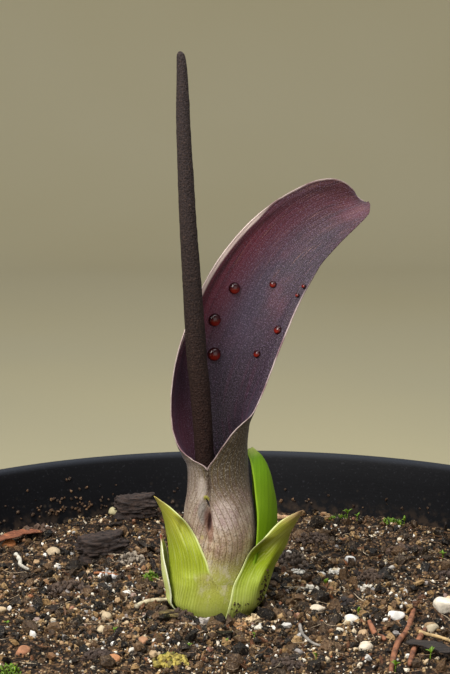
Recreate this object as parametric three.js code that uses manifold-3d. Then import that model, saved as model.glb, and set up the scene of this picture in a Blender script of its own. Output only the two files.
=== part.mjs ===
// Potted biarum kotschyi: pot, soil, tuber, spathe, spadix, sheath leaves and loose dressing.
// Millimetres, +Z up, origin at the centre of the pot's base.
import * as THREE from 'three';
import { mergeVertices } from 'three/addons/utils/BufferGeometryUtils.js';
import Module from 'manifold-3d';

// ---- driving dimensions ----
const POT_RIM_R = 120;
const POT_HEIGHT = 120;
const POT_FOOT_R = 88;
const POT_WALL = 1.9;
const POT_SEGMENTS = 48;
const SOIL_LEVEL = 100.8;
const PLANT_X = -7.4;
const PLANT_Y = 15;
const GAP = 0.35;
const STONE_ROOM = 0.5;
const TUBER_TOP = -13.35;
const SEAM_LEFT = 161;
const SEAM_RIGHT = 199;

const wasm = await Module();
wasm.setup();

// ---- small helpers ----
const rad = (d) => d * Math.PI / 180;

function seeded(seed) {
  let s = seed >>> 0;
  return () => {
    s = (Math.imul(s, 1664525) + 1013904223) >>> 0;
    return s / 4294967296;
  };
}

// smooth lattice noise, -1 to 1
function noise(x, y, seed) {
  const corner = (i, j) => {
    let h = Math.imul(i, 374761393) + Math.imul(j, 668265263) + Math.imul(seed, 69069);
    h = Math.imul(h ^ (h >>> 13), 1274126177);
    return (((h ^ (h >>> 16)) >>> 0) / 4294967296) * 2 - 1;
  };
  const i = Math.floor(x), j = Math.floor(y);
  const u = x - i, v = y - j;
  const a = u * u * (3 - 2 * u), b = v * v * (3 - 2 * v);
  const low = corner(i, j) * (1 - a) + corner(i + 1, j) * a;
  const high = corner(i, j + 1) * (1 - a) + corner(i + 1, j + 1) * a;
  return low * (1 - b) + high * b;
}

// row of the table at t, by uniform Catmull-Rom
function rowAt(table, t) {
  const n = table.length;
  const c = Math.min(Math.max(t, 0), n - 1);
  const i = Math.min(Math.floor(c), n - 2);
  const f = c - i;
  const p0 = table[Math.max(i - 1, 0)], p1 = table[i];
  const p2 = table[i + 1], p3 = table[Math.min(i + 2, n - 1)];
  return p1.map((_, k) => 0.5 * (2 * p1[k] + (p2[k] - p0[k]) * f
    + (2 * p0[k] - 5 * p1[k] + 4 * p2[k] - p3[k]) * f * f
    + (3 * p1[k] - p0[k] - 3 * p2[k] + p3[k]) * f * f * f));
}

function bodyFrom(points, faces) {
  const geometry = new THREE.BufferGeometry();
  geometry.setAttribute('position', new THREE.Float32BufferAttribute(points.flat(), 3));
  geometry.setIndex(faces.flat());
  return geometry;
}

function asManifold(geometry) {
  const g = geometry.clone();
  g.deleteAttribute('normal');
  g.deleteAttribute('uv');
  const merged = mergeVertices(g, 1e-4);
  const mesh = new wasm.Mesh({
    numProp: 3,
    vertProperties: new Float32Array(merged.attributes.position.array),
    triVerts: new Uint32Array(merged.index.array),
  });
  return new wasm.Manifold(mesh);
}

function fromManifold(solid) {
  const mesh = solid.getMesh();
  const geometry = new THREE.BufferGeometry();
  geometry.setAttribute('position', new THREE.BufferAttribute(new Float32Array(mesh.vertProperties), 3));
  geometry.setIndex(new THREE.BufferAttribute(new Uint32Array(mesh.triVerts), 1));
  return geometry;
}

function material(colour, roughness, metalness = 0) {
  return new THREE.MeshStandardMaterial({ color: colour, roughness, metalness });
}

const group = new THREE.Group();
group.name = 'potted_biarum_kotschyi';

function addPiece(name, geometry, mat) {
  const g = geometry.index ? geometry : mergeVertices(geometry);
  g.computeVertexNormals();
  const mesh = new THREE.Mesh(g, mat);
  mesh.name = name;
  group.add(mesh);
  return mesh;
}

function placed(geometry, x, y, z) {
  return geometry.clone().translate(x, y, z);
}

// closed sheet between two grids of the same size; rows up to closedRows wrap round into a ring
function sheetBody(outer, inner, closedRows = -1) {
  const rows = outer.length, cols = outer[0].length;
  const points = [], faces = [];
  const index = [[], []];
  [outer, inner].forEach((grid, side) => {
    for (let i = 0; i < rows; i++) {
      index[side].push([]);
      for (let j = 0; j < cols; j++) {
        if (i <= closedRows && j === cols - 1) {
          index[side][i].push(index[side][i][0]);
        } else {
          index[side][i].push(points.length);
          points.push(grid[i][j]);
        }
      }
    }
  });
  const quad = (a, b, c, d) => {
    if (a !== b && b !== c && a !== c) faces.push([a, b, c]);
    if (a !== c && c !== d && a !== d) faces.push([a, c, d]);
  };
  const [o, n] = index;
  for (let i = 0; i < rows - 1; i++) {
    for (let j = 0; j < cols - 1; j++) {
      quad(o[i][j], o[i + 1][j], o[i + 1][j + 1], o[i][j + 1]);
      quad(n[i][j], n[i][j + 1], n[i + 1][j + 1], n[i + 1][j]);
    }
    if (i >= closedRows) {
      quad(o[i][0], n[i][0], n[i + 1][0], o[i + 1][0]);
      quad(o[i][cols - 1], o[i + 1][cols - 1], n[i + 1][cols - 1], n[i][cols - 1]);
    }
  }
  for (let j = 0; j < cols - 1; j++) {
    quad(o[0][j], o[0][j + 1], n[0][j + 1], n[0][j]);
    quad(o[rows - 1][j], n[rows - 1][j], n[rows - 1][j + 1], o[rows - 1][j + 1]);
  }
  return bodyFrom(points, faces);
}

// the same triangles with every face turned over
function turned(geometry) {
  const g = geometry.clone();
  const array = g.index.array;
  for (let k = 0; k < array.length; k += 3) {
    const keep = array[k];
    array[k] = array[k + 1];
    array[k + 1] = keep;
  }
  return g;
}

function facingOut(geometry) {
  const p = geometry.attributes.position, ix = geometry.index;
  const a = new THREE.Vector3(), b = new THREE.Vector3(), c = new THREE.Vector3();
  let volume = 0;
  for (let k = 0; k < ix.count; k += 3) {
    a.fromBufferAttribute(p, ix.getX(k));
    b.fromBufferAttribute(p, ix.getX(k + 1));
    c.fromBufferAttribute(p, ix.getX(k + 2));
    volume += a.dot(b.cross(c));
  }
  return volume >= 0 ? geometry : turned(geometry);
}

// ---- pot ----
const wallInner = (z) => POT_FOOT_R - 1.2 + (POT_RIM_R - 3.4 - POT_FOOT_R + 1.2) * (z - 3) / (POT_HEIGHT - 3);
const potProfile = [
  [0, 1.6], [POT_FOOT_R - 14, 1.6], [POT_FOOT_R - 12.8, 0], [POT_FOOT_R - 1.2, 0], [POT_FOOT_R, 1.2],
  [wallInner(108) + POT_WALL, 108], [wallInner(111) + POT_WALL + 0.9, 110.2],
  [POT_RIM_R - 0.6, 113.4], [POT_RIM_R, 114.6], [POT_RIM_R, 118.2], [POT_RIM_R - 0.7, 119.6],
  [POT_RIM_R - 2, POT_HEIGHT], [POT_RIM_R - 3.1, 119.4], [wallInner(117.5), 117.5],
  [wallInner(5), 5], [wallInner(3.4) - 1.2, 3.4], [0, 3.4],
].map(([r, z]) => new THREE.Vector2(r, z));
const potLathe = new THREE.LatheGeometry(potProfile, POT_SEGMENTS);
potLathe.rotateX(Math.PI / 2);
let potSolid = asManifold(facingOut(mergeVertices((() => {
  const g = potLathe.clone();
  g.deleteAttribute('normal');
  g.deleteAttribute('uv');
  return g;
})(), 1e-4)));
const drain = new THREE.Shape();
drain.absarc(0, 0, 4.5, 0, Math.PI * 2, false);
const drainHole = new THREE.ExtrudeGeometry(drain, { depth: 8, bevelEnabled: false, curveSegments: 7 });
for (let k = 0; k < 6; k++) {
  const a = rad(k * 60);
  potSolid = potSolid.subtract(asManifold(placed(drainHole, 44 * Math.cos(a), 44 * Math.sin(a), -2)));
}
addPiece('pot', fromManifold(potSolid), material(0x1b1c1f, 0.42));

// ---- spathe: x, y, z, radius, left and right half angle, open direction ----
const spatheRows = [
  [0.0, 0.0, -13.0, 4.8, SEAM_LEFT, SEAM_RIGHT, 0, -1, 0, 0.9],
  [0.0, 0.0, -3.0, 5.2, SEAM_LEFT, SEAM_RIGHT, 0, -1, 0, 0.9],
  [0.0, 0.0, 2.5, 7.3, SEAM_LEFT, SEAM_RIGHT, 0, -1, 0, 0.9],
  [0.0, 0.0, 8.0, 10.0, SEAM_LEFT, SEAM_RIGHT, 0, -1, 0, 0.9],
  [0.6, 0.0, 14.0, 10.4, SEAM_LEFT, SEAM_RIGHT, 0, -1, 0, 0.9],
  [1.4, 0.0, 20.5, 10.3, SEAM_LEFT, SEAM_RIGHT, 0, -1, 0, 0.9],
  [1.4, 0.0, 27.5, 9.5, SEAM_LEFT, SEAM_RIGHT, 0, -1, 0, 0.9],
  [1.2, 0.0, 34.0, 8.4, SEAM_LEFT, SEAM_RIGHT, 0, -1, 0, 0.9],
  [0.85, 0.0, 39.4, 8.3, SEAM_LEFT, SEAM_RIGHT, 0, -1, 0, 0.9],
  [0.2, 0.0, 42.8, 9.0, 136, 178, 0, -1, 0, 0.9],
  [-0.5, 0.0, 46.3, 9.9, 104, 158, 0, -1, 0, 0.9],
  [-0.95, 0.1, 51.0, 10.75, 92, 132, 0, -1, 0, 0.9],
  [-0.05, 0.6, 57.5, 11.9, 86, 94, 0, -1, 0, 0.9],
  [3.7, 3.6, 69.0, 14.0, 68, 68, 0, -1, 0, 0.9],
  [9.45, 6.0, 82.9, 15.5, 56, 56, 0, -1, 0, 0.9],
  [16.2, 9.0, 93.6, 15.4, 50, 50, 0, -1, 0.1, 0.9],
  [22.5, 12.0, 100.4, 14.7, 46, 46, 0.1, -0.95, 0.25, 0.85],
  [29.4, 14.0, 105.4, 12.9, 46, 46, 0.2, -0.9, 0.4, 0.85],
  [35.0, 16.3, 107.9, 10.4, 52, 48, 0.35, -0.75, 0.6, 0.85],
  [39.1, 19.8, 108.6, 7.1, 58, 50, 0.5, -0.5, 0.7, 0.8],
  [40.8, 23.6, 108.4, 4.1, 60, 50, 0.55, -0.2, 0.78, 0.8],
  [41.8, 27.0, 107.5, 1.9, 60, 50, 0.35, 0.2, 0.9, 0.75],
  [42.2, 28.1, 107.4, 1.1, 60, 50, 0.15, 0.25, 1.0, 0.65],
];
const FRAME_STEP = 0.8;

// seam crease, pinch and the bulge beside them; d is the angle from the seam in degrees
function tubeRelief(d, z) {
  const band = (c, w) => Math.exp(-((z - c) ** 2) / (w * w));
  const crease = -0.45 * Math.exp(-(d * d) / 36) * (z > 16 ? 1 : Math.max(0, (z - 8) / 8)) * (z < 37.5 ? 1 : 0.4);
  const pinch = -0.7 * Math.exp(-(d * d) / 90) * band(26.5, 5.5);
  const bulge = 0.55 * Math.exp(-((d - 30) ** 2) / 500) * band(21, 7.5);
  const flap = 0.45 * Math.exp(-((d + 22) ** 2) / 200) * band(27, 4.5);
  return crease + pinch + bulge + flap;
}

function bladePoint(rows, t, u, inset) {
  const s = rowAt(rows, t);
  const q = new THREE.Vector3(s[0], s[1], s[2]);
  const ahead = rowAt(rows, Math.min(t + FRAME_STEP, rows.length - 1));
  const behind = rowAt(rows, Math.max(t - FRAME_STEP, 0));
  const T = new THREE.Vector3(ahead[0] - behind[0], ahead[1] - behind[1], ahead[2] - behind[2]).normalize();
  const n = new THREE.Vector3(s[6], s[7], s[8]);
  n.addScaledVector(T, -n.dot(T)).normalize();
  const b = new THREE.Vector3().crossVectors(T, n);
  const aL = rad(s[4]), aR = rad(s[5]);
  const open = Math.cos((aL + aR) / 2);
  const lift = (open + Math.sqrt(open * open + 0.02)) / 2;
  const theta = u < 0 ? u * aL : u * aR;
  const fromSeam = (theta - rad(SEAM_RIGHT)) * 180 / Math.PI;
  const d = fromSeam < -180 ? fromSeam + 360 : fromSeam;
  const shape = q.z < 39.4 ? tubeRelief(-d, q.z) : 0;
  const r = s[3];
  const across = r + shape - inset;
  return q.clone()
    .addScaledVector(b, across * Math.sin(theta))
    .addScaledVector(n, r * lift - across * Math.cos(theta));
}

const SPATHE_COLUMNS = 24;
const SPATHE_CLOSED_TO = 8;
const columnPlaces = [];
for (let j = 0; j <= SPATHE_COLUMNS; j++) {
  const v = j / SPATHE_COLUMNS * 2 - 1;
  columnPlaces.push(Math.sign(v) * (1 - (1 - Math.abs(v)) ** 1.3));
}
const rowPlaces = [0, 1, 2];
for (let t = 2.5; t < 7.6; t += 0.5) rowPlaces.push(t);
rowPlaces.push(SPATHE_CLOSED_TO, 8.5, 9, 9.5, 10, 10.5, 11, 11.5);
for (let t = 12; t < 18; t += 0.6) rowPlaces.push(t);
for (let t = 18; t <= spatheRows.length - 1 + 1e-6; t += 0.5) rowPlaces.push(t);
const spatheOuter = [], spatheInner = [];
for (const t of rowPlaces) {
  const wall = rowAt(spatheRows, t)[9];
  spatheOuter.push(columnPlaces.map((u) => bladePoint(spatheRows, t, u, 0).toArray()));
  spatheInner.push(columnPlaces.map((u) => bladePoint(spatheRows, t, u, wall).toArray()));
}
const spatheBody = facingOut(sheetBody(spatheOuter, spatheInner, rowPlaces.indexOf(SPATHE_CLOSED_TO)));
addPiece('spathe', placed(spatheBody, PLANT_X, PLANT_Y, SOIL_LEVEL), material(0x5c4350, 0.62));

// ---- sheath leaves: z, centre x, centre y, radius, from and to azimuth, wall ----
const leftRows = [
  [-13, 0, 0, 6.15, -178, 178, 0.9],
  [-3, -0.9, 0, 8.3, -178, 178, 0.9],
  [1, -1.6, 0, 10.0, -178, 168, 0.9],
  [4, -1.0, 0, 11.1, -178, 148, 0.9],
  [7, -0.35, 0, 12.05, -178, 100, 0.9],
  [8.7, -0.2, 0, 12.2, -176, 48, 0.9],
  [9.8, -0.25, 0, 12.15, -173, 3, 0.9],
  [15.2, -0.7, 0, 11.9, -160, -8, 0.9],
  [21.0, -2.6, -0.3, 10.7, -140, -13, 0.9],
  [25.7, -5.2, -1.0, 9.0, -122, -20, 0.9],
  [28.8, -8.8, -2.0, 6.6, -104, -28, 0.9],
  [30.4, -12.3, -3.6, 3.7, -92, -36, 0.8],
  [31.2, -14.6, -4.9, 1.6, -88, -45, 0.65],
];
const rightRows = [
  [-13, 0, 0, 8.5, 18, 112, 0.9],
  [-3, 0.2, 0, 10.15, 16, 113, 0.9],
  [1, 0.8, 0, 12.3, 14, 114, 0.9],
  [4, 1.0, 0, 13.4, 15, 114, 0.9],
  [8, 1.6, 0, 14.0, 15.5, 112, 0.9],
  [12, 3.5, -0.2, 13.5, 17, 106, 0.9],
  [16.9, 7.2, -1.0, 12.4, 12.5, 96, 0.9],
  [20.5, 10.4, -2.2, 10.2, 13, 92, 0.9],
  [23.5, 14.6, -3.6, 7.4, 6, 90, 0.9],
  [26.0, 18.8, -5.2, 4.4, -4, 90, 0.85],
  [27.5, 21.7, -6.8, 2.0, 0, 88, 0.7],
  [28.1, 22.9, -7.6, 1.2, 12, 78, 0.65],
];
const greenRows = [
  [-13, 0, 0, 7.3, 60, 140, 0.8],
  [-3, 0, 0, 9.0, 60, 140, 0.8],
  [1, 0.1, 0, 10.35, 58, 142, 0.85],
  [4, 0.3, 0, 11.5, 55, 145, 0.85],
  [8, 1.3, 0.1, 12.2, 54, 150, 0.85],
  [12, 3.5, 1.5, 10.95, 40, 155, 0.9],
  [16.5, 6.5, 3.0, 10.2, 28, 158, 0.9],
  [24, 7.8, 3.5, 9.4, 25, 162, 0.9],
  [30, 8.2, 3.9, 8.4, 22, 163, 0.9],
  [36, 8.4, 4.5, 6.7, 19, 163, 0.9],
  [39.6, 8.8, 4.9, 4.6, 13, 160, 0.85],
  [41.4, 9.2, 5.1, 2.4, -2, 150, 0.8],
  [42.2, 9.5, 5.1, 1.2, -12, 130, 0.65],
];
const smallRows = [
  [-13, 0, 0, 7.3, -130, -62, 0.8],
  [-3, -0.9, 0, 9.45, -130, -62, 0.8],
  [1, -1.6, 0, 11.3, -128, -62, 0.8],
  [4, -1.1, 0, 12.3, -125, -60, 0.8],
  [8.3, -1.0, 0, 13.3, -120, -59, 0.8],
  [14, -1.1, 0, 13.6, -115, -68, 0.8],
  [17.3, -1.0, 0, 13.7, -104, -78, 0.75],
  [18.9, -1.0, 0, 13.8, -95, -88, 0.65],
];

// the rows in the ground are cut at the same heights on every sheath, so that they nest
function sheathBody(rows, columns, upperSteps) {
  const outer = [], inner = [];
  const last = rows.length - 1;
  const places = [0, 1, 2, 3];
  for (let i = 1; i <= upperSteps; i++) places.push(3 + (last - 3) * i / upperSteps);
  for (const place of places) {
    const [z, cx, cy, r, from, to, wall] = rowAt(rows, place);
    const lineAt = (radius) => {
      const line = [];
      for (let j = 0; j <= columns; j++) {
        const az = rad(from + (to - from) * j / columns);
        line.push([cx + radius * Math.sin(az), cy - radius * Math.cos(az), z]);
      }
      return line;
    };
    outer.push(lineAt(r));
    inner.push(lineAt(r - wall));
  }
  return placed(facingOut(sheetBody(outer, inner)), PLANT_X, PLANT_Y, SOIL_LEVEL);
}
addPiece('cataphyll_left', sheathBody(leftRows, 18, 12), material(0x9aa53c, 0.5));
addPiece('cataphyll_right', sheathBody(rightRows, 10, 11), material(0x7f9022, 0.5));
addPiece('cataphyll_small', sheathBody(smallRows, 6, 4), material(0xc4d07a, 0.5));
addPiece('leaf_green', sheathBody(greenRows, 10, 12), material(0x5f8a08, 0.42));

// ---- spadix: x, y, z, radius, height of the flower relief ----
const spadixRows = [
  [0, 0, -13, 2.5, 0], [0, 0, -3, 2.6, 0], [0, 0, -1.5, 4.0, 0.1], [0, 0, 1.5, 4.6, 0.12], [0, 0, 4, 4.2, 0.1],
  [0, 0, 5.2, 2.3, 0], [-0.2, -0.3, 9, 2.1, 0], [-0.3, -0.5, 10.2, 3.4, 0.1], [-0.5, -0.7, 14, 3.6, 0.12],
  [-0.8, -0.9, 18, 3.3, 0.1], [-0.9, -1, 19.2, 2.1, 0], [-1.5, -1, 25, 2.3, 0], [-2.2, -1, 35, 2.45, 0],
  [-3.0, -1, 47.7, 2.6, 0], [-3.9, -1, 60.8, 2.74, 0], [-4.6, -1, 67.6, 2.74, 0], [-5.6, -1, 83.8, 2.58, 0],
  [-6.6, -1, 99.7, 2.36, 0], [-7.2, -1, 111, 2.2, 0], [-7.7, -1, 122, 1.98, 0], [-8.1, -1, 133, 1.83, 0],
  [-8.3, -1, 143.9, 1.43, 0], [-8.6, -1, 147.9, 1.1, 0], [-8.75, -1, 149.0, 0.6, 0],
];
const SPADIX_SIDES = 12;
const spadixPoints = [], spadixFaces = [];
const spadixSteps = 34;
for (let i = 0; i <= spadixSteps; i++) {
  const [x, y, z, r, bump] = rowAt(spadixRows, i * (spadixRows.length - 1) / spadixSteps);
  for (let j = 0; j < SPADIX_SIDES; j++) {
    const a = (j + (i % 2) / 2) * 2 * Math.PI / SPADIX_SIDES;
    const k = r * (1 + bump * (j % 2 === 0 ? 1 : -0.6));
    spadixPoints.push([x + k * Math.cos(a), y + k * Math.sin(a), z]);
  }
}
for (let i = 0; i < spadixSteps; i++) {
  for (let j = 0; j < SPADIX_SIDES; j++) {
    const a = i * SPADIX_SIDES + j, b = i * SPADIX_SIDES + (j + 1) % SPADIX_SIDES;
    const c = a + SPADIX_SIDES, d = b + SPADIX_SIDES;
    if (i % 2 === 0) spadixFaces.push([a, b, c], [b, d, c]);
    else spadixFaces.push([a, b, d], [a, d, c]);
  }
}
const spadixFoot = spadixPoints.length;
spadixPoints.push([0, 0, -13], [-8.8, -1, 149.3]);
const lastRing = spadixSteps * SPADIX_SIDES;
for (let j = 0; j < SPADIX_SIDES; j++) {
  const k = (j + 1) % SPADIX_SIDES;
  spadixFaces.push([spadixFoot, k, j], [spadixFoot + 1, lastRing + j, lastRing + k]);
}
addPiece('spadix', placed(facingOut(bodyFrom(spadixPoints, spadixFaces)), PLANT_X, PLANT_Y, SOIL_LEVEL),
  material(0x33241f, 0.7));

// ---- tuber ----
const tuberProfile = [
  [0, -34.8], [8, -34.2], [14, -31], [17.3, -26], [17.5, -21.5], [15.4, -16.8], [12, -14.1], [9.4, TUBER_TOP], [0, TUBER_TOP],
];
function turnedBody(profile, segments) {
  const g = new THREE.LatheGeometry(profile.map(([r, z]) => new THREE.Vector2(r, z)), segments);
  g.rotateX(Math.PI / 2);
  g.deleteAttribute('normal');
  g.deleteAttribute('uv');
  return facingOut(mergeVertices(g, 1e-4));
}
addPiece('tuber', placed(fromManifold(asManifold(turnedBody(tuberProfile, 20))), PLANT_X, PLANT_Y, SOIL_LEVEL),
  material(0x6b5236, 0.85));

// ---- soil ----
function soilTop(x, y) {
  const px = x - PLANT_X, py = y - PLANT_Y;
  const near = Math.hypot(px, py);
  const fade = Math.min(1, Math.max(0, (near - 11) / 14));
  const lumps = 1.5 * noise(x / 9 + 40, py / 9 + 40, 3) + 0.9 * noise(x / 4.3 + 90, py / 4.3 + 90, 8);
  const front = Math.max(0, -py / Math.max(near, 1));
  const dip = -front * (2.0 * Math.exp(-((near - 10) ** 2) / 45) + 0.7 * Math.exp(-((near - 10) ** 2) / 900));
  const mound = 3.2 * Math.exp(-(((x + 37) / 17) ** 2) - (((py - 84) / 11) ** 2));
  const wall = 1.2 * Math.max(0, (Math.hypot(x, y) - POT_RIM_R + 17) / 10);
  return lumps * fade * (1 - 0.75 * wall / 1.2) + dip + mound * (1 - wall / 1.4) + wall * 0.5;
}
// how far the hole must give way at an azimuth: wide at the right sheath, less at the small one
function holeReach(az) {
  const side = (from, to) => 1 / (1 + Math.exp(-(az - from) / 3)) / (1 + Math.exp((az - to) / 3));
  return 2.4 * side(9, 122) + 0.6 * side(9, 150) + 1.8 * side(-141, -54) + side(-172, -12);
}
const SOIL_SIDES = 42;
const soilSpec = [
  ['cavity', 8.3, -34.75], ['cavity', 14.4, -31.4], ['cavity', 17.75, -26.1], ['cavity', 17.95, -21.4],
  ['cavity', 15.8, -16.5], ['cavity', 12.3, -13.75], ['cavity', 9.75, -12.9],
  ['hole', 7.25, -12.4, 0], ['hole', 8.9, -3, 0.3], ['hole', 10.0, -0.8, 0.8], ['hole', 10.7, 0.9, 1],
  ['top', 13], ['top', 17.5], ['top', 22.5], ['top', 29], ['top', 37], ['top', 46], ['top', 56],
  ['top', 66], ['top', 77], ['top', 89], ['top', 100], ['top', 108.3],
  ['rim', 0], ['side', 3.9], ['floor', 3.75],
];
const soilPoints = [], soilFaces = [];
for (const [kind, value, z, follow] of soilSpec) {
  for (let j = 0; j < SOIL_SIDES; j++) {
    const az = -180 + 360 * j / SOIL_SIDES;
    const sx = Math.sin(rad(az)), sy = -Math.cos(rad(az));
    if (kind === 'cavity') {
      soilPoints.push([PLANT_X + value * sx, PLANT_Y + value * sy, SOIL_LEVEL + z]);
    } else if (kind === 'hole') {
      const r = value + holeReach(az);
      const x = PLANT_X + r * sx, y = PLANT_Y + r * sy;
      soilPoints.push([x, y, SOIL_LEVEL + z + follow * soilTop(x, y)]);
    } else if (kind === 'top') {
      const f = Math.min(1, Math.max(0, (value - 20) / 60));
      const jitter = 1 + 0.04 * noise(j * 1.7, value, 5);
      const reach = value * (value < 105 ? jitter : 1) + (value < 14 ? holeReach(az) * 0.6 : 0);
      const x = PLANT_X * (1 - f) + reach * sx, y = PLANT_Y * (1 - f) + reach * sy;
      soilPoints.push([x, y, SOIL_LEVEL + 0.3 + soilTop(x, y)]);
    } else if (kind === 'rim') {
      const level = SOIL_LEVEL + 0.6;
      const r = wallInner(level) - 0.9;
      soilPoints.push([r * sx, r * sy, level + 0.5 * noise(j * 0.9, 3, 12)]);
    } else if (kind === 'side') {
      const r = wallInner(6) - GAP - 0.6;
      soilPoints.push([r * sx, r * sy, 6]);
    } else {
      const r = wallInner(6) - 3.2;
      soilPoints.push([r * sx, r * sy, value]);
    }
  }
}
const soilRows = soilSpec.length;
for (let i = 0; i < soilRows - 1; i++) {
  for (let j = 0; j < SOIL_SIDES; j++) {
    const a = i * SOIL_SIDES + j, b = i * SOIL_SIDES + (j + 1) % SOIL_SIDES;
    soilFaces.push([a, b, b + SOIL_SIDES], [a, b + SOIL_SIDES, a + SOIL_SIDES]);
  }
}
const soilCentre = soilPoints.length;
soilPoints.push([PLANT_X, PLANT_Y, SOIL_LEVEL - 35.2], [0, 0, 3.75]);
for (let j = 0; j < SOIL_SIDES; j++) {
  const k = (j + 1) % SOIL_SIDES, last = (soilRows - 1) * SOIL_SIDES;
  soilFaces.push([soilCentre, k, j], [soilCentre + 1, last + j, last + k]);
}
let soilSolid = asManifold(facingOut(bodyFrom(soilPoints, soilFaces)));

// a rough stone: a knocked-about twenty-sided ball stretched to the given sizes
function roughStone(sx, sy, sz, seed, detail = 0) {
  const g = new THREE.IcosahedronGeometry(1, detail);
  g.deleteAttribute('normal');
  g.deleteAttribute('uv');
  const m = mergeVertices(g, 1e-4);
  const p = m.attributes.position;
  const next = seeded(seed);
  for (let k = 0; k < p.count; k++) {
    const f = 0.8 + 0.4 * next();
    p.setXYZ(k, p.getX(k) * f, p.getY(k) * f, p.getZ(k) * f);
  }
  m.rotateZ(next() * 6.28);
  m.scale(sx, sy, sz);
  return m;
}

// grit raised on the soil: half sunk, fused with it
const gritNext = seeded(71);
let grit = null;
for (let k = 0; k < 20; k++) {
  const a = gritNext() * Math.PI * 2, reach = 20 + 78 * Math.sqrt(gritNext());
  const x = PLANT_X * 0.5 + reach * Math.cos(a), y = PLANT_Y * 0.5 + reach * Math.sin(a);
  const s = 1.6 + 1.6 * gritNext();
  const piece = asManifold(placed(roughStone(s, s * 0.85, s * 0.8, 200 + k), x, y, SOIL_LEVEL + 0.1 + soilTop(x, y)));
  grit = grit ? grit.add(piece) : piece;
}
soilSolid = soilSolid.add(grit);

// ---- loose pieces: x, y from the plant, half sizes, colour ----
const looseStones = [
  ['stone_1', 20.2, -11.3, 2.4, 1.8, 1.3, 0xcfc4ae],
  ['stone_2', 29.3, -16.5, 2.9, 2.2, 1.9, 0xd8d2c6],
  ['stone_3', 40.9, -16.0, 3.1, 2.2, 1.9, 0xd6d0c4],
  ['stone_4', 54.5, -10.0, 3.4, 2.6, 2.2, 0xd8cfc0],
  ['stone_5', 31.0, -41.0, 2.2, 1.9, 1.8, 0xc9bda6],
  ['stone_6', -36.0, -14.0, 2.1, 1.8, 1.6, 0xb7a78d],
  ['stone_7', -56.2, 49.6, 2.6, 2.0, 1.5, 0xcbbfa9],
  ['stone_8', 49.7, -22.0, 2.3, 1.9, 1.6, 0xb28a5c],
  ['bark_1', -41.0, 44.0, 8.2, 5.5, 4.0, 0x2e2119],
  ['bark_2', -32.5, 82.0, 7.4, 5.0, 3.6, 0x34261c],
];
looseStones.forEach(([name, x, py, sx, sy, sz, colour], k) => {
  const y = py + PLANT_Y;
  const z = SOIL_LEVEL + 0.3 + soilTop(x, y) + sz * 0.35;
  const shape = roughStone(sx, sy, sz, 900 + 17 * k, 1);
  const grown = shape.clone().scale(1 + STONE_ROOM / sx, 1 + STONE_ROOM / sy, 1 + STONE_ROOM / sz);
  soilSolid = soilSolid.subtract(asManifold(placed(grown, x, y, z)));
  addPiece(name, placed(shape, x, y, z), material(colour, 0.85));
});

// flat flake beside the base
const flakeOutline = [[-6.2, -1.4], [-3.6, -2.7], [0.4, -2.3], [4.6, -3.0], [6.6, -0.8], [5.2, 1.6], [1.6, 2.4], [-2.8, 2.1], [-5.4, 1.0]];
const flake = new THREE.ExtrudeGeometry(new THREE.Shape(flakeOutline.map(([x, y]) => new THREE.Vector2(x, y))), { depth: 1.5, bevelEnabled: false });
flake.deleteAttribute('normal');
flake.deleteAttribute('uv');
const flakeBody = mergeVertices(flake, 1e-4);
flakeBody.rotateZ(rad(32));
const flakeX = -20.5, flakeY = PLANT_Y - 13.5;
const flakeZ = SOIL_LEVEL + 0.2 + soilTop(flakeX, flakeY);
const flakeRoom = flakeBody.clone().translate(0, 0, -0.75).scale(1.14, 1.26, 1.5).translate(0, 0, 0.75);
soilSolid = soilSolid.subtract(asManifold(placed(flakeRoom, flakeX, flakeY, flakeZ)));
addPiece('bark_3', placed(flakeBody, flakeX, flakeY, flakeZ), material(0x8f7747, 0.85));

// thin dry stalks, each lying in its own groove
const stalks = [
  ['twig_1', [[46.2, -10.0], [42.5, -28.0], [38.8, -40.0], [36.0, -57.0]], 0.8, 0x6a3a22],
  ['twig_2', [[47.4, -27.5], [44.8, -36.0], [42.6, -45.0], [40.6, -56.0]], 0.75, 0x6e4026],
  ['twig_3', [[33.4, -21.0], [34.4, -27.0], [35.3, -32.0], [36.2, -36.5]], 0.75, 0x6a4a30],
];
for (const [name, places, r, colour] of stalks) {
  const lift = 0.5;
  const spots = places.map(([x, py]) => [x, py + PLANT_Y]);
  const highest = Math.max(...spots.map(([x, y]) => soilTop(x, y)));
  const points = spots.map(([x, y]) => new THREE.Vector3(x, y,
    SOIL_LEVEL + 0.3 + lift + 0.35 * highest + 0.65 * soilTop(x, y)));
  const curve = new THREE.CatmullRomCurve3(points);
  const tube = (radius, over) => {
    const path = over ? new THREE.CatmullRomCurve3(points.map((p, k) => {
      const q = p.clone();
      if (k === 0) q.addScaledVector(curve.getTangent(0), -over);
      if (k === points.length - 1) q.addScaledVector(curve.getTangent(1), over);
      return q;
    })) : curve;
    const section = new THREE.Shape();
    section.absarc(0, 0, radius, 0, Math.PI * 2, false);
    const g = new THREE.ExtrudeGeometry(section, { steps: 6, extrudePath: path, curveSegments: 4 });
    g.deleteAttribute('normal');
    g.deleteAttribute('uv');
    return mergeVertices(g, 1e-4);
  };
  soilSolid = soilSolid.subtract(asManifold(tube(r + GAP, 0.5)));
  addPiece(name, tube(r, 0), material(colour, 0.8));
}

// largest connected body only, so that no crumb is left loose by the cuts
const soilParts = soilSolid.decompose();
soilParts.sort((a, b) => b.volume() - a.volume());
addPiece('soil', fromManifold(soilParts[0]), material(0x4a3a2e, 0.95));

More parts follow.
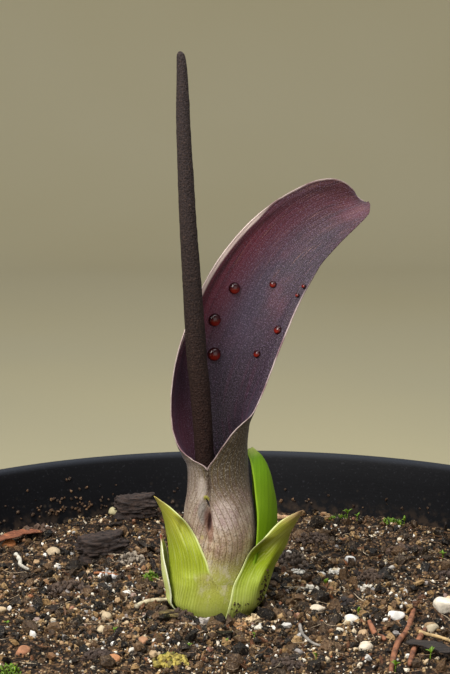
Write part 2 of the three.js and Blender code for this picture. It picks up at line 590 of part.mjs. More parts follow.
// ---- drops of water: row place, column place, radius ----
const drops = [
  [14.09, -0.34, 1.65], [14.55, 0.29, 1.0], [14.87, 0.95, 0.62], [14.59, 0.91, 0.62],
  [13.45, -0.43, 1.85], [13.72, 0.82, 1.2], [13.17, 0.56, 1.05], [12.89, -0.19, 1.9],
];
drops.forEach(([t, u, r], k) => {
  const wall = rowAt(spatheRows, t)[9];
  const at = bladePoint(spatheRows, t, u, wall);
  const out = bladePoint(spatheRows, t, u, wall + 1).sub(at).normalize();
  const p = [], f = [];
  const rings = 3, sides = 9;
  for (let i = 0; i < rings; i++) {
    const e = (i / rings) * Math.PI / 2;
    for (let j = 0; j < sides; j++) {
      const a = j * 2 * Math.PI / sides;
      p.push([r * Math.cos(e) * Math.cos(a), r * Math.cos(e) * Math.sin(a), r * 0.8 * Math.sin(e)]);
    }
  }
  p.push([0, 0, r * 0.8], [0, 0, 0]);
  for (let i = 0; i < rings - 1; i++) {
    for (let j = 0; j < sides; j++) {
      const a = i * sides + j, b = i * sides + (j + 1) % sides;
      f.push([a, b, b + sides], [a, b + sides, a + sides]);
    }
  }
  for (let j = 0; j < sides; j++) {
    const m = (j + 1) % sides, last = (rings - 1) * sides;
    f.push([last + j, last + m, rings * sides], [m, j, rings * sides + 1]);
  }
  const body = facingOut(bodyFrom(p, f));
  body.applyQuaternion(new THREE.Quaternion().setFromUnitVectors(new THREE.Vector3(0, 0, 1), out));
  const base = at.clone().addScaledVector(out, GAP + 0.03 + r * r / 14);
  addPiece(`drop_${k + 1}`, placed(body, PLANT_X + base.x, PLANT_Y + base.y, SOIL_LEVEL + base.z), material(0x7a1f12, 0.08));
});

export default group;
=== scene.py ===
"""Potted biarum kotschyi dressed for rendering: pot, soil and its litter, spathe, spadix, sheath leaves
and dew."""
import math
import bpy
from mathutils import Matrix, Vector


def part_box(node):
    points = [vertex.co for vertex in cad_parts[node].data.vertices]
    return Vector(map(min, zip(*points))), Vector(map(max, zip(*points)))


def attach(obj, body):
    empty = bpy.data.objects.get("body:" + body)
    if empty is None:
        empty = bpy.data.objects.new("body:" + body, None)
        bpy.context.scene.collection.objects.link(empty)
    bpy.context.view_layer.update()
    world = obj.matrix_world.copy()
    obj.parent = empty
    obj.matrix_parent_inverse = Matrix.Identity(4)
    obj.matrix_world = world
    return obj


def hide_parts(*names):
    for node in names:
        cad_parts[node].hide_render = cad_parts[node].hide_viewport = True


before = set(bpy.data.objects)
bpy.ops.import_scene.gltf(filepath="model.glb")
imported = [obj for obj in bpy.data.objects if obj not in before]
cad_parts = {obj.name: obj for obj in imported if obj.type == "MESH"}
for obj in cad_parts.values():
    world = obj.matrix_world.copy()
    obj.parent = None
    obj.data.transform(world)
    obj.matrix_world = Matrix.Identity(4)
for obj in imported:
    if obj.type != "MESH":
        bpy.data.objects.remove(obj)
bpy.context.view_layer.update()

from types import SimpleNamespace

import bpy
import numpy as np
from bpy.props import FloatProperty, FloatVectorProperty, IntProperty, PointerProperty
from mathutils import Vector

bl_info = {
    "name": "Potted biarum",
    "version": (1, 0, 0),
    "blender": (4, 5, 0),
    "location": "View3D > Sidebar > Biarum",
    "description": "Makes a potted biarum kotschyi piece by piece over its packed solids",
    "category": "Add Mesh",
}

TUBER_LOW, TUBER_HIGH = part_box("tuber")
TUBER_TOP_MM = -13.35
PLANT_X = (TUBER_LOW.x + TUBER_HIGH.x) / 2
PLANT_Y = (TUBER_LOW.y + TUBER_HIGH.y) / 2
SOIL_LEVEL = TUBER_HIGH.z - TUBER_TOP_MM / 1000

# all further sizes are in millimetres and degrees
FOOT_X, FOOT_Y, SOIL_Z = PLANT_X * 1000, PLANT_Y * 1000, SOIL_LEVEL * 1000
POT_RIM_R = 120.0
POT_FOOT_R = 88.0
POT_HEIGHT = 120.0
POT_WALL = 1.9
FLOOR_TOP = 3.4
FLOOR_UNDERSIDE = 1.6
DRAIN_HOLES = 6
DRAIN_HOLE_R = 4.5
DRAIN_RING_R = 44
SEAM_LEFT = 161
SEAM_RIGHT = 199
SPATHE_LENGTH = 150
SPATHE_TOP = 110

# the photograph's camera: place from the plant in metres, dip in degrees
CAMERA_X = -0.0045
CAMERA_BACK = 0.5
CAMERA_RISE = 0.156
CAMERA_DIP = 9.35
LENS_MM = 101.2
SENSOR_MM = 36

CRUMB_SEED, STONE_SEED, GROWTH_SEED = 11, 23, 47

# rings of the spathe's tube: x, z, radius
TUBE_ROWS = [
    (0, -13, 4.8), (0, -3, 5.2), (0, 2.5, 7.3), (0, 8, 10), (0.6, 14, 10.4), (1.4, 20.5, 10.3),
    (1.4, 27.5, 9.5), (1.2, 34, 8.4), (0.85, 39.4, 8.3),
]
# spathe rows: x, y, z, radius, left and right half angle, open direction, wall
SPATHE_ROWS = [(x, 0, z, r, SEAM_LEFT, SEAM_RIGHT, 0, -1, 0, 0.9) for x, z, r in TUBE_ROWS] + [
    (0.2, 0, 42.8, 9, 136, 178, 0, -1, 0, 0.9),
    (-0.5, 0, 46.3, 9.9, 104, 158, 0, -1, 0, 0.9),
    (-0.95, 0.1, 51, 10.75, 92, 132, 0, -1, 0, 0.9),
    (-0.05, 0.6, 57.5, 11.9, 86, 94, 0, -1, 0, 0.9),
    (3.7, 3.6, 69, 14, 68, 68, 0, -1, 0, 0.9),
    (9.45, 6, 82.9, 15.5, 56, 56, 0, -1, 0, 0.9),
    (16.2, 9, 93.6, 15.4, 50, 50, 0, -1, 0.1, 0.9),
    (22.5, 12, 100.4, 14.7, 46, 46, 0.1, -0.95, 0.25, 0.85),
    (29.4, 14, 105.4, 12.9, 46, 46, 0.2, -0.9, 0.4, 0.85),
    (35, 16.3, 107.9, 10.4, 52, 48, 0.35, -0.75, 0.6, 0.85),
    (39.1, 19.8, 108.6, 7.1, 58, 50, 0.5, -0.5, 0.7, 0.8),
    (40.8, 23.6, 108.4, 4.1, 60, 50, 0.55, -0.2, 0.78, 0.8),
    (41.8, 27, 107.5, 1.9, 60, 50, 0.35, 0.2, 0.9, 0.75),
    (42.2, 28.1, 107.4, 1.1, 60, 50, 0.15, 0.25, 1, 0.65),
]
# row up to which the spathe is a ring, and how far before and behind a row its spine's direction is read
SPATHE_CLOSED_TO = len(TUBE_ROWS) - 1
FRAME_STEP = 0.8

# sheath rows: z, centre x, centre y, radius, from and to azimuth, wall
SHEATHS = {
    "cataphyll_left": [
        (-13, 0, 0, 6.15, -178, 178, 0.9), (-3, -0.9, 0, 8.3, -178, 178, 0.9),
        (1, -1.6, 0, 10, -178, 168, 0.9), (4, -1, 0, 11.1, -178, 148, 0.9),
        (7, -0.35, 0, 12.05, -178, 100, 0.9), (8.7, -0.2, 0, 12.2, -176, 48, 0.9),
        (9.8, -0.25, 0, 12.15, -173, 3, 0.9), (15.2, -0.7, 0, 11.9, -160, -8, 0.9),
        (21, -2.6, -0.3, 10.7, -140, -13, 0.9), (25.7, -5.2, -1, 9, -122, -20, 0.9),
        (28.8, -8.8, -2, 6.6, -104, -28, 0.9), (30.4, -12.3, -3.6, 3.7, -92, -36, 0.8),
        (31.2, -14.6, -4.9, 1.6, -88, -45, 0.65),
    ],
    "cataphyll_right": [
        (-13, 0, 0, 8.5, 18, 112, 0.9), (-3, 0.2, 0, 10.15, 16, 113, 0.9), (1, 0.8, 0, 12.3, 14, 114, 0.9),
        (4, 1, 0, 13.4, 15, 114, 0.9), (8, 1.6, 0, 14, 15.5, 112, 0.9), (12, 3.5, -0.2, 13.5, 17, 106, 0.9),
        (16.9, 7.2, -1, 12.4, 12.5, 96, 0.9), (20.5, 10.4, -2.2, 10.2, 13, 92, 0.9),
        (23.5, 14.6, -3.6, 7.4, 6, 90, 0.9), (26, 18.8, -5.2, 4.4, -4, 90, 0.85),
        (27.5, 21.7, -6.8, 2, 0, 88, 0.7), (28.1, 22.9, -7.6, 1.2, 12, 78, 0.65),
    ],
    "leaf_green": [
        (-13, 0, 0, 7.3, 60, 140, 0.8), (-3, 0, 0, 9, 60, 140, 0.8), (1, 0.1, 0, 10.35, 58, 142, 0.85),
        (4, 0.3, 0, 11.5, 55, 145, 0.85), (8, 1.3, 0.1, 12.2, 54, 150, 0.85),
        (12, 3.5, 1.5, 10.95, 40, 155, 0.9), (16.5, 6.5, 3, 10.2, 28, 158, 0.9),
        (24, 7.8, 3.5, 9.4, 25, 162, 0.9), (30, 8.2, 3.9, 8.4, 22, 163, 0.9),
        (36, 8.4, 4.5, 6.7, 19, 163, 0.9), (39.6, 8.8, 4.9, 4.6, 13, 160, 0.85),
        (41.4, 9.2, 5.1, 2.4, -2, 150, 0.8), (42.2, 9.5, 5.1, 1.2, -12, 130, 0.65),
    ],
    "cataphyll_small": [
        (-13, 0, 0, 7.3, -130, -62, 0.8), (-3, -0.9, 0, 9.45, -130, -62, 0.8),
        (1, -1.6, 0, 11.3, -128, -62, 0.8), (4, -1.1, 0, 12.3, -125, -60, 0.8),
        (8.3, -1, 0, 13.3, -120, -59, 0.8), (14, -1.1, 0, 13.6, -115, -68, 0.8),
        (17.3, -1, 0, 13.7, -104, -78, 0.75), (18.9, -1, 0, 13.8, -95, -88, 0.65),
    ],
}

# radius of the front of the plant's foot, every 2 mm from z -13 up to 13
FRONT_RADII = np.array([6, 6.2, 6.6, 7.2, 7.9, 8.7, 9.75, 10.43, 10.55, 10.27, 10.02, 10.2, 10.37, 10.39])

# spadix rows: x, y, z, radius, height of the flower relief
SPADIX_ROWS = [
    (0, 0, -13, 2.5, 0), (0, 0, -3, 2.6, 0), (0, 0, -1.5, 4, 0.1), (0, 0, 1.5, 4.6, 0.12),
    (0, 0, 4, 4.2, 0.1), (0, 0, 5.2, 2.3, 0), (-0.2, -0.3, 9, 2.1, 0), (-0.3, -0.5, 10.2, 3.4, 0.1),
    (-0.5, -0.7, 14, 3.6, 0.12), (-0.8, -0.9, 18, 3.3, 0.1), (-0.9, -1, 19.2, 2.1, 0),
    (-1.5, -1, 25, 2.3, 0), (-2.2, -1, 35, 2.45, 0), (-3, -1, 47.7, 2.6, 0), (-3.9, -1, 60.8, 2.74, 0),
    (-4.6, -1, 67.6, 2.74, 0), (-5.6, -1, 83.8, 2.58, 0), (-6.6, -1, 99.7, 2.36, 0),
    (-7.2, -1, 111, 2.2, 0), (-7.7, -1, 122, 1.98, 0), (-8.1, -1, 133, 1.83, 0), (-8.3, -1, 143.9, 1.43, 0),
    (-8.6, -1, 147.9, 1.1, 0), (-8.75, -1, 149, 0.6, 0), (-8.8, -1, 149.3, 0, 0),
]

# dew on the limb: row place, column place, radius
DEW = [
    (14.09, -0.34, 1.65), (14.55, 0.29, 1), (14.87, 0.95, 0.62), (14.59, 0.91, 0.62), (13.45, -0.43, 1.85),
    (13.72, 0.82, 1.2), (13.17, 0.56, 1.05), (12.89, -0.19, 1.9),
]

# In the tables of litter x counts from the pot's middle and y from the plant's own line.
# stones: x, y, half sizes, colour in 0 to 255
STONES = {
    "stone_1": (20.2, -11.3, 2.4, 1.8, 1.3, (222, 206, 180)),
    "stone_2": (29.3, -16.5, 2.9, 2.2, 1.9, (236, 228, 212)),
    "stone_3": (40.9, -16, 3.1, 2.2, 1.9, (240, 234, 224)),
    "stone_4": (54.5, -10, 3.4, 2.6, 2.2, (240, 228, 206)),
    "stone_5": (31, -41, 2.2, 1.9, 1.8, (226, 210, 184)),
    "stone_6": (-36, -14, 2.1, 1.8, 1.6, (190, 168, 134)),
    "stone_7": (-56.2, 49.6, 2.6, 2, 1.5, (190, 168, 134)),
    "stone_8": (49.7, -22, 2.3, 1.9, 1.6, (176, 144, 104)),
}
# bark lumps: half sizes, turn in radians
BARK = {
    "bark_1": (8.2, 5.5, 4, 0.35),
    "bark_2": (7.4, 5, 3.6, 0.1),
}
# fallen needles: points on the soil, radius
STALKS = {
    "twig_1": ([(46.2, -10), (42.5, -28), (38.8, -40), (36, -57)], 0.8),
    "twig_2": ([(47.4, -27.5), (44.8, -36), (42.6, -45), (40.6, -56)], 0.75),
    "twig_3": ([(33.4, -21), (34.4, -27), (35.3, -32), (36.2, -36.5)], 0.75),
}
# smaller free stones: x, y, size, colour
PEBBLES = [
    (31.3, -27, 1.9, (196, 164, 124)), (49.2, -27.3, 2.2, (192, 176, 146)),
    (-36.5, -27.4, 1.7, (206, 186, 150)), (-25.4, -35.9, 1.6, (176, 128, 92)),
    (-32, -53.4, 2, (190, 130, 84)), (-55.2, -43.7, 2.4, (176, 120, 84)), (-39.2, 82, 2.4, (196, 184, 140)),
    (-69.8, 55.3, 2.6, (178, 112, 62)), (25.4, -26.2, 1.2, (226, 214, 190)),
    (4.2, -23.3, 1.3, (232, 224, 206)), (-32.8, -35.9, 1.2, (236, 232, 222)),
    (-27.7, -42.1, 1.3, (216, 206, 190)), (32.4, 41.2, 1.8, (232, 228, 220)),
    (26.6, 27.7, 1.5, (226, 220, 208)), (-37, 22.7, 1.7, (232, 230, 226)),
    (-31.5, 4.5, 1.5, (226, 220, 210)), (-64.3, -12, 1.5, (196, 170, 132)),
    (-20.5, -26, 1.1, (220, 200, 170)), (14, -44, 1.3, (150, 142, 136)), (4, -46, 1.2, (168, 160, 150)),
    (-46, -33, 1.6, (150, 142, 132)), (-49.5, -22, 1.5, (140, 134, 126)), (56.5, -2, 2, (226, 190, 150)),
    (-8.4, -37, 1.1, (176, 112, 84)), (14.6, 49, 1.2, (232, 226, 214)), (44, 33, 1.1, (220, 212, 200)),
    (60, -30, 1.8, (230, 224, 210)),
]
# seedlings: x, y, height
SPROUTS = [
    (52, 80.9, 3.4), (34.1, 82.1, 3.8), (37, 79, 2.8), (23.4, 10.1, 3.4), (31.1, -10.9, 3.2),
    (17.9, -51.4, 2.6), (46.4, -49.2, 3), (37.2, -55.1, 3.4), (-4, -33.5, 2.4), (3, -30.2, 2.2),
    (-13.8, -41.3, 2.6), (-33.1, -30.2, 2.4), (-62, -20, 2.6), (60, 44, 3), (-20, 60, 2.6),
]
# moss cushions: x, y, radius, height, number of leaves
MOSS = [
    (-25.4, 18.6, 2.2, 2.6, 150), (-58.6, -58.6, 4.6, 1.6, 260), (48, 77, 3.4, 1.4, 120),
    (31, 85, 3, 1.2, 90), (-17.6, -52, 3.4, 1.6, 150),
]
# clods of stuck crumbs: x, y, radius, height, number of crumbs, colour
CLODS = [
    (-9.8, -16.4, 3.6, 3, 150, (176, 166, 156)), (-4.2, -17.6, 2.3, 2.2, 60, (222, 206, 176)),
    (-0.6, -19.6, 2.4, 1.6, 60, (190, 142, 92)), (3.6, -17.4, 2.2, 1.8, 50, (206, 182, 142)),
    (-31.9, 34.9, 4.8, 4.6, 160, (150, 136, 118)), (15.6, 30.9, 4.2, 5.4, 150, (96, 82, 70)),
    (28.3, 2, 3.4, 2.6, 90, (40, 34, 32)), (-16.5, -12.6, 3.8, 3, 140, (70, 52, 38)),
    (-22, -8.4, 3.6, 2.4, 90, (84, 66, 48)), (38, 24, 5, 3.2, 120, (84, 66, 52)),
    (-48, 8, 6, 3, 150, (78, 60, 46)), (22, 56, 5, 3, 110, (84, 66, 52)), (50, 52, 6, 3, 130, (92, 70, 54)),
    (-62, 66, 6, 3.4, 130, (88, 66, 50)), (-36, -45, 4.4, 2.6, 110, (70, 54, 44)),
    (10, -54, 5, 2.4, 120, (74, 58, 46)), (60, 20, 4.6, 2.6, 100, (66, 50, 40)),
    (11.5, -14.6, 2.6, 2.4, 80, (92, 74, 56)), (-17.8, -53.5, 4.6, 2.6, 150, (176, 158, 72)),
    (-36.7, 11.7, 4.6, 2.1, 64, (232, 228, 218)), (-38.1, 25, 2.6, 1.9, 30, (236, 232, 224)),
    (15.5, 23.4, 3.4, 2.1, 52, (226, 220, 206)), (27.3, 29.4, 3.6, 2, 40, (230, 224, 210)),
    (19, 6.1, 3.4, 2.1, 44, (224, 216, 198)), (34, 14, 4.4, 2, 50, (228, 220, 204)),
    (13.1, 40, 4, 3.6, 120, (58, 46, 38)),
]
# rootlets and sticks: points on the soil, radius, colour
ROOTLETS = [
    ([(15.1, -22.8), (15.4, -28), (17.3, -33.5), (19.6, -38), (20.6, -42.5)], 0.42, (150, 142, 132)),
    ([(-28.4, -7.6), (-26.4, -4.4), (-23.4, -2), (-19.6, -1)], 0.75, (206, 190, 158)),
    ([(-66.2, 41), (-64.6, 37), (-63.9, 33), (-61, 27)], 0.7, (206, 198, 180)),
    ([(9.8, 91.5), (13, 87), (17.4, 82)], 0.95, (196, 156, 116)),
    ([(-42, 26), (-38, 24), (-35.2, 23.4)], 0.42, (150, 92, 52)),
    ([(45.6, -31), (51, -36), (58, -43)], 0.5, (190, 160, 110)),
    ([(-52, -4), (-48, -9), (-47, -14)], 0.35, (96, 66, 44)),
    ([(-16, -22), (-12, -20), (-9.6, -18.6)], 0.4, (170, 156, 138)),
]


def srgb(red, green, blue):
    """Linear colour of a screen colour given in 0 to 255."""
    level = [v / 255 for v in (red, green, blue)]
    return tuple(v / 12.92 if v <= 0.04045 else ((v + 0.055) / 1.055) ** 2.4 for v in level)


# ground shape, the same as in the solids

def lattice(i, j, seed):
    """Scrambled number from -1 to 1 for a lattice corner: 32-bit products, shifts and exclusive ors."""
    mask = np.int64(0xFFFFFFFF)
    h = (i * 374761393 + j * 668265263 + seed * 69069) & mask
    h = ((h ^ (h >> 13)) * 1274126177) & mask
    return ((h ^ (h >> 16)) & mask) / 4294967296 * 2 - 1


def noise(x, y, seed):
    """Smooth lattice noise from -1 to 1: corner numbers blended by 3t^2 - 2t^3 both ways."""
    i, j = np.floor(x).astype(np.int64), np.floor(y).astype(np.int64)
    u, v = x - i, y - j
    a, b = u * u * (3 - 2 * u), v * v * (3 - 2 * v)
    low = lattice(i, j, seed) * (1 - a) + lattice(i + 1, j, seed) * a
    high = lattice(i, j + 1, seed) * (1 - a) + lattice(i + 1, j + 1, seed) * a
    return low * (1 - b) + high * b


def wall_inner(z):
    """Inner radius of the pot's cone at a height: a straight line from foot to rim."""
    return POT_FOOT_R - 1.2 + (POT_RIM_R - 3.4 - POT_FOOT_R + 1.2) * (z - 3) / (POT_HEIGHT - 3)


def soil_top(x, y):
    """Height of the soil over its level: two noises faded near the plant, a dip in front of it, a mound
    and a rise at the wall."""
    px, py = x - FOOT_X, y - FOOT_Y
    near = np.hypot(px, py)
    fade = np.clip((near - 11) / 14, 0, 1)
    lumps = 1.5 * noise(x / 9 + 40, py / 9 + 40, 3) + 0.9 * noise(x / 4.3 + 90, py / 4.3 + 90, 8)
    front = np.maximum(0, -py / np.maximum(near, 1))
    dip = -front * (2.0 * np.exp(-((near - 10) ** 2) / 45) + 0.7 * np.exp(-((near - 10) ** 2) / 900))
    mound = 3.2 * np.exp(-(((x + 37) / 17) ** 2) - (((py - 84) / 11) ** 2))
    wall = 1.2 * np.maximum(0, (np.hypot(x, y) - POT_RIM_R + 17) / 10)
    return lumps * fade * (1 - 0.75 * wall / 1.2) + dip + mound * (1 - wall / 1.4) + wall * 0.5


def bed_height(x, y):
    """Soil height with two finer noises on it, in millimetres over the soil level."""
    fine = 0.32 * noise(x / 1.9 + 7, y / 1.9 + 3, 21) + 0.16 * noise(x / 0.85 + 5, y / 0.85 + 9, 22)
    return soil_top(x, y) + fine + 0.2


def ground_at(x, y):
    """Height of the bed over the pot's foot."""
    return SOIL_Z + bed_height(x, y)


def hole_reach(azimuth):
    """Extra width of the hole round the plant: soft steps at the right sheath, the green leaf and the
    left ones."""
    def side(low, high):
        """1 between two azimuths, with a logistic step at each end."""
        return 1 / (1 + np.exp(-(azimuth - low) / 3)) / (1 + np.exp((azimuth - high) / 3))
    return 2.4 * side(9, 122) + 0.6 * side(9, 150) + 1.8 * side(-141, -54) + side(-172, -12)


# surfaces

def row_at(table, t):
    """Rows of a table at the places t: cubic through the four nearest rows, Catmull-Rom."""
    table = np.asarray(table, float)
    t = np.clip(np.asarray(t, float), 0, len(table) - 1)
    i = np.minimum(t.astype(int), len(table) - 2)
    f = (t - i)[..., None]
    p0, p1 = table[np.maximum(i - 1, 0)], table[i]
    p2, p3 = table[i + 1], table[np.minimum(i + 2, len(table) - 1)]
    return 0.5 * (2 * p1 + (p2 - p0) * f + (2 * p0 - 5 * p1 + 4 * p2 - p3) * f ** 2
                  + (3 * p1 - p0 - 3 * p2 + p3) * f ** 3)


def unit(v):
    """Vectors divided by their lengths."""
    return v / np.maximum(np.linalg.norm(v, axis=-1, keepdims=True), 1e-12)


def grid_faces(index):
    """Four-cornered faces between the neighbouring rows and columns of an index grid."""
    return np.stack([index[:-1, :-1], index[1:, :-1], index[1:, 1:], index[:-1, 1:]], -1).reshape(-1, 4)


def grid_surface(points, **facts):
    """Surface over a grid of points; its facts are grids of the same rows and columns."""
    index = np.arange(points.size // 3).reshape(points.shape[:2])
    return points.reshape(-1, 3), grid_faces(index), {key: value.ravel() for key, value in facts.items()}


def ball_directions(rows, columns):
    """Directions from a ball's middle, in rows from pole to pole; the last column closes on the first."""
    polar = np.linspace(0, math.pi, rows)
    angle = np.linspace(0, 2 * math.pi, columns)
    angle[-1] = 0
    polar, angle = np.meshgrid(polar, angle, indexing="ij")
    ring = np.sin(polar)
    ring[0], ring[-1] = 0, 0
    return np.stack([ring * np.cos(angle), ring * np.sin(angle), np.cos(polar)], -1)


def turned_level(points, turn):
    """Points turned by an angle round the upright axis."""
    x, y = points[..., 0], points[..., 1]
    cos, sin = math.cos(turn), math.sin(turn)
    return np.stack([x * cos - y * sin, x * sin + y * cos, points[..., 2]], -1)


def moved(surface, x, y, z):
    """The same surface at another place."""
    points, faces, facts = surface
    return points + (x, y, z), faces, facts


def planted(surface):
    """Moves a surface given from the plant's foot to the plant's place in the pot."""
    return moved(surface, FOOT_X, FOOT_Y, SOIL_Z)


def row_y(y):
    """Depth in the pot of a y that a table gives from the plant's own line."""
    return y + FOOT_Y


def collect(parts):
    """Joins (points, faces, facts) parts into one, shifting each part's faces by the points before it."""
    points, faces, facts, before = [], [], {}, 0
    for part_points, part_faces, part_facts in parts:
        points.append(part_points)
        faces.append(part_faces + before)
        before += len(part_points)
        for key, value in part_facts.items():
            facts.setdefault(key, []).append(np.broadcast_to(value, len(part_points)))
    return np.concatenate(points), np.concatenate(faces), {k: np.concatenate(v) for k, v in facts.items()}


def weld(points, faces, facts):
    """The same surface with points that share a place made one, so that seams and poles close."""
    keys = np.rint(points * 1e4).astype(np.int64)
    _, first, back = np.unique(keys, axis=0, return_index=True, return_inverse=True)
    return points[first], back.reshape(-1)[faces], {k: v[first] for k, v in facts.items()}


def enclosed(points, faces):
    """Signed volume inside a closed surface: a sum of the triangles' triple products."""
    total = 0.0
    for k in range(1, faces.shape[1] - 1):
        a, b, c = points[faces[:, 0]], points[faces[:, k]], points[faces[:, k + 1]]
        total += np.einsum("ij,ij->", a, np.cross(b, c))
    return total / 6


def make_piece(name, surface, material, replaces=(), slot=None, smooth=True, whole=True):
    """Mesh object from a surface of points in millimetres, faces and facts. A whole surface is welded and
    turned outwards; faces that collapse to a line are left out."""
    points, faces, facts = surface
    if whole:
        points, faces, facts = weld(points, faces, facts)
        if enclosed(points, faces) < 0:
            faces = faces[:, ::-1]
    keep = faces != np.roll(faces, 1, axis=1)
    sizes = keep.sum(1)
    faces, keep, sizes = faces[sizes > 2], keep[sizes > 2], sizes[sizes > 2]
    corners = faces[keep].astype(np.int32)
    starts = np.concatenate([[0], np.cumsum(sizes)[:-1]]).astype(np.int32)
    mesh = bpy.data.meshes.new(name)
    mesh.vertices.add(len(points))
    mesh.vertices.foreach_set("co", (points * 0.001).astype(np.float32).ravel())
    mesh.loops.add(len(corners))
    mesh.loops.foreach_set("vertex_index", corners)
    mesh.polygons.add(len(starts))
    mesh.polygons.foreach_set("loop_start", starts)
    mesh.polygons.foreach_set("use_smooth", np.full(len(starts), smooth))
    mesh.update(calc_edges=True)
    if mesh.validate():
        raise RuntimeError(name + ": the mesh needed repair")
    for key, value in facts.items():
        mesh.attributes.new(key, "FLOAT", "POINT").data.foreach_set("value", value.astype(np.float32))
    piece = bpy.data.objects.new(name, mesh)
    bpy.context.scene.collection.objects.link(piece)
    mesh.materials.append(material)
    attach(piece, "root")
    if replaces:
        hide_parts(*replaces)
    return piece


# points between the two edges of a rounded margin
LIP = 3


def thick_sheet(outer, inner, facts, open_from=0):
    """Closed sheet between two grids. Its free margins are half circles over the wall, its last row
    closes in a ridge, and rows before open_from are rings, whose two edges share their places."""
    grow = unit(outer[-1] - outer[-2]) * np.linalg.norm(outer[-1] - inner[-1], axis=-1, keepdims=True) / 2
    ridge = ((outer[-1] + inner[-1]) / 2 + grow)[None]
    outer, inner = np.concatenate([outer, ridge]), np.concatenate([inner, ridge])
    facts = {key: np.concatenate([value, value[-1:]]) for key, value in facts.items()}
    rows, columns = outer.shape[:2]
    index = np.arange(rows * columns).reshape(rows, columns)
    parts_points = [outer.reshape(-1, 3), inner.reshape(-1, 3)]
    out_index, in_index = index, index + rows * columns
    faces = [grid_faces(out_index), grid_faces(in_index), grid_faces(np.stack([out_index[0], in_index[0]]))]
    values = {key: [value.ravel(), value.ravel()] for key, value in facts.items()}
    side = [np.ones(rows * columns), np.zeros(rows * columns)]
    before = 2 * rows * columns
    turn = np.linspace(0, math.pi, LIP + 2)[1:-1][None, :, None]
    for edge, beside in ((columns - 1, columns - 2), (0, 1)):
        o, i = outer[open_from:, edge][:, None], inner[open_from:, edge][:, None]
        reach = unit(o - outer[open_from:, beside][:, None] + i - inner[open_from:, beside][:, None])
        half = np.linalg.norm(o - i, axis=-1, keepdims=True) / 2
        lip = (o + i) / 2 + (o - i) / 2 * np.cos(turn) + reach * half * np.sin(turn)
        if open_from:
            lip[0] = ((o + i) / 2 + (o - i) / 2 * np.cos(turn))[0]
        lip[-1] = ridge[0, edge]
        count = rows - open_from
        lip_index = np.arange(count * LIP).reshape(count, LIP) + before
        around = np.concatenate([out_index[open_from:, edge:edge + 1], lip_index,
                                 in_index[open_from:, edge:edge + 1]], 1)
        faces.append(grid_faces(around if edge else around[:, ::-1]))
        if not open_from:
            foot = around[0] if edge else around[0][::-1]
            faces.append(np.stack([foot[:-1], foot[1:], np.full(LIP + 1, in_index[0, edge]),
                                   np.full(LIP + 1, in_index[0, edge])], 1))
        parts_points.append(lip.reshape(-1, 3))
        before += count * LIP
        for key, value in facts.items():
            values[key].append(np.repeat(value[open_from:, edge], LIP))
        side.append(np.full(count * LIP, 0.5))
    values = {key: np.concatenate(value) for key, value in values.items()}
    values["side"] = np.concatenate(side)
    faces[1] = faces[1][:, ::-1]
    return np.concatenate(parts_points), np.concatenate(faces), values


def turned(profile, segments):
    """Surface of revolution: each (radius, height) of the profile goes round the upright axis."""
    profile = np.asarray(profile, float)
    angle = np.linspace(0, 2 * math.pi, segments + 1)
    angle[-1] = 0
    points = np.stack([profile[:, :1] * np.cos(angle), profile[:, :1] * np.sin(angle),
                       np.repeat(profile[:, 1:], segments + 1, 1)], -1)
    return grid_surface(points)


def stalk_faces(wrapped):
    """Faces between the neighbouring rings of each stalk, from a (stalk, ring, side) index whose last
    side is its first."""
    corners = [wrapped[:, :-1, :-1], wrapped[:, :-1, 1:], wrapped[:, 1:, 1:], wrapped[:, 1:, :-1]]
    return np.stack(corners, -1).reshape(-1, 4)


def tubes(paths, radii, sides, facts):
    """Round stalks: circles of the given radii stand square to each path, and both ends close in a point.
    paths are (stalk, ring, 3) and radii (stalk, ring); a circle's axes are crossed from the path's way."""
    ahead = unit(np.gradient(paths, axis=1))
    aside = unit(np.cross(ahead, np.array([0.12, 0.05, 1.0])))
    upward = np.cross(aside, ahead)
    angle = np.arange(sides) * 2 * math.pi / sides
    ring = (paths[:, :, None] + radii[:, :, None, None]
            * (aside[:, :, None] * np.cos(angle)[:, None] + upward[:, :, None] * np.sin(angle)[:, None]))
    count, rings = paths.shape[:2]
    index = np.arange(count * rings * sides).reshape(count, rings, sides)
    wrapped = np.concatenate([index, index[:, :, :1]], 2)
    caps = np.arange(count * 2).reshape(2, count) + index.size
    low, high = wrapped[:, 0], wrapped[:, -1]
    foot = np.stack([low[:, 1:], low[:, :-1], *[np.repeat(caps[0][:, None], sides, 1)] * 2], -1)
    head = np.stack([high[:, :-1], high[:, 1:], *[np.repeat(caps[1][:, None], sides, 1)] * 2], -1)
    ends = np.concatenate([paths[:, 0] - ahead[:, 0] * radii[:, :1] * 0.5,
                           paths[:, -1] + ahead[:, -1] * radii[:, -1:] * 0.5])
    values = {}
    for key, value in facts.items():
        value = np.broadcast_to(np.asarray(value, float), count)
        values[key] = np.concatenate([np.repeat(value, rings * sides), value, value])
    faces = np.concatenate([stalk_faces(wrapped), foot.reshape(-1, 4), head.reshape(-1, 4)])
    return np.concatenate([ring.reshape(-1, 3), ends]), faces, values


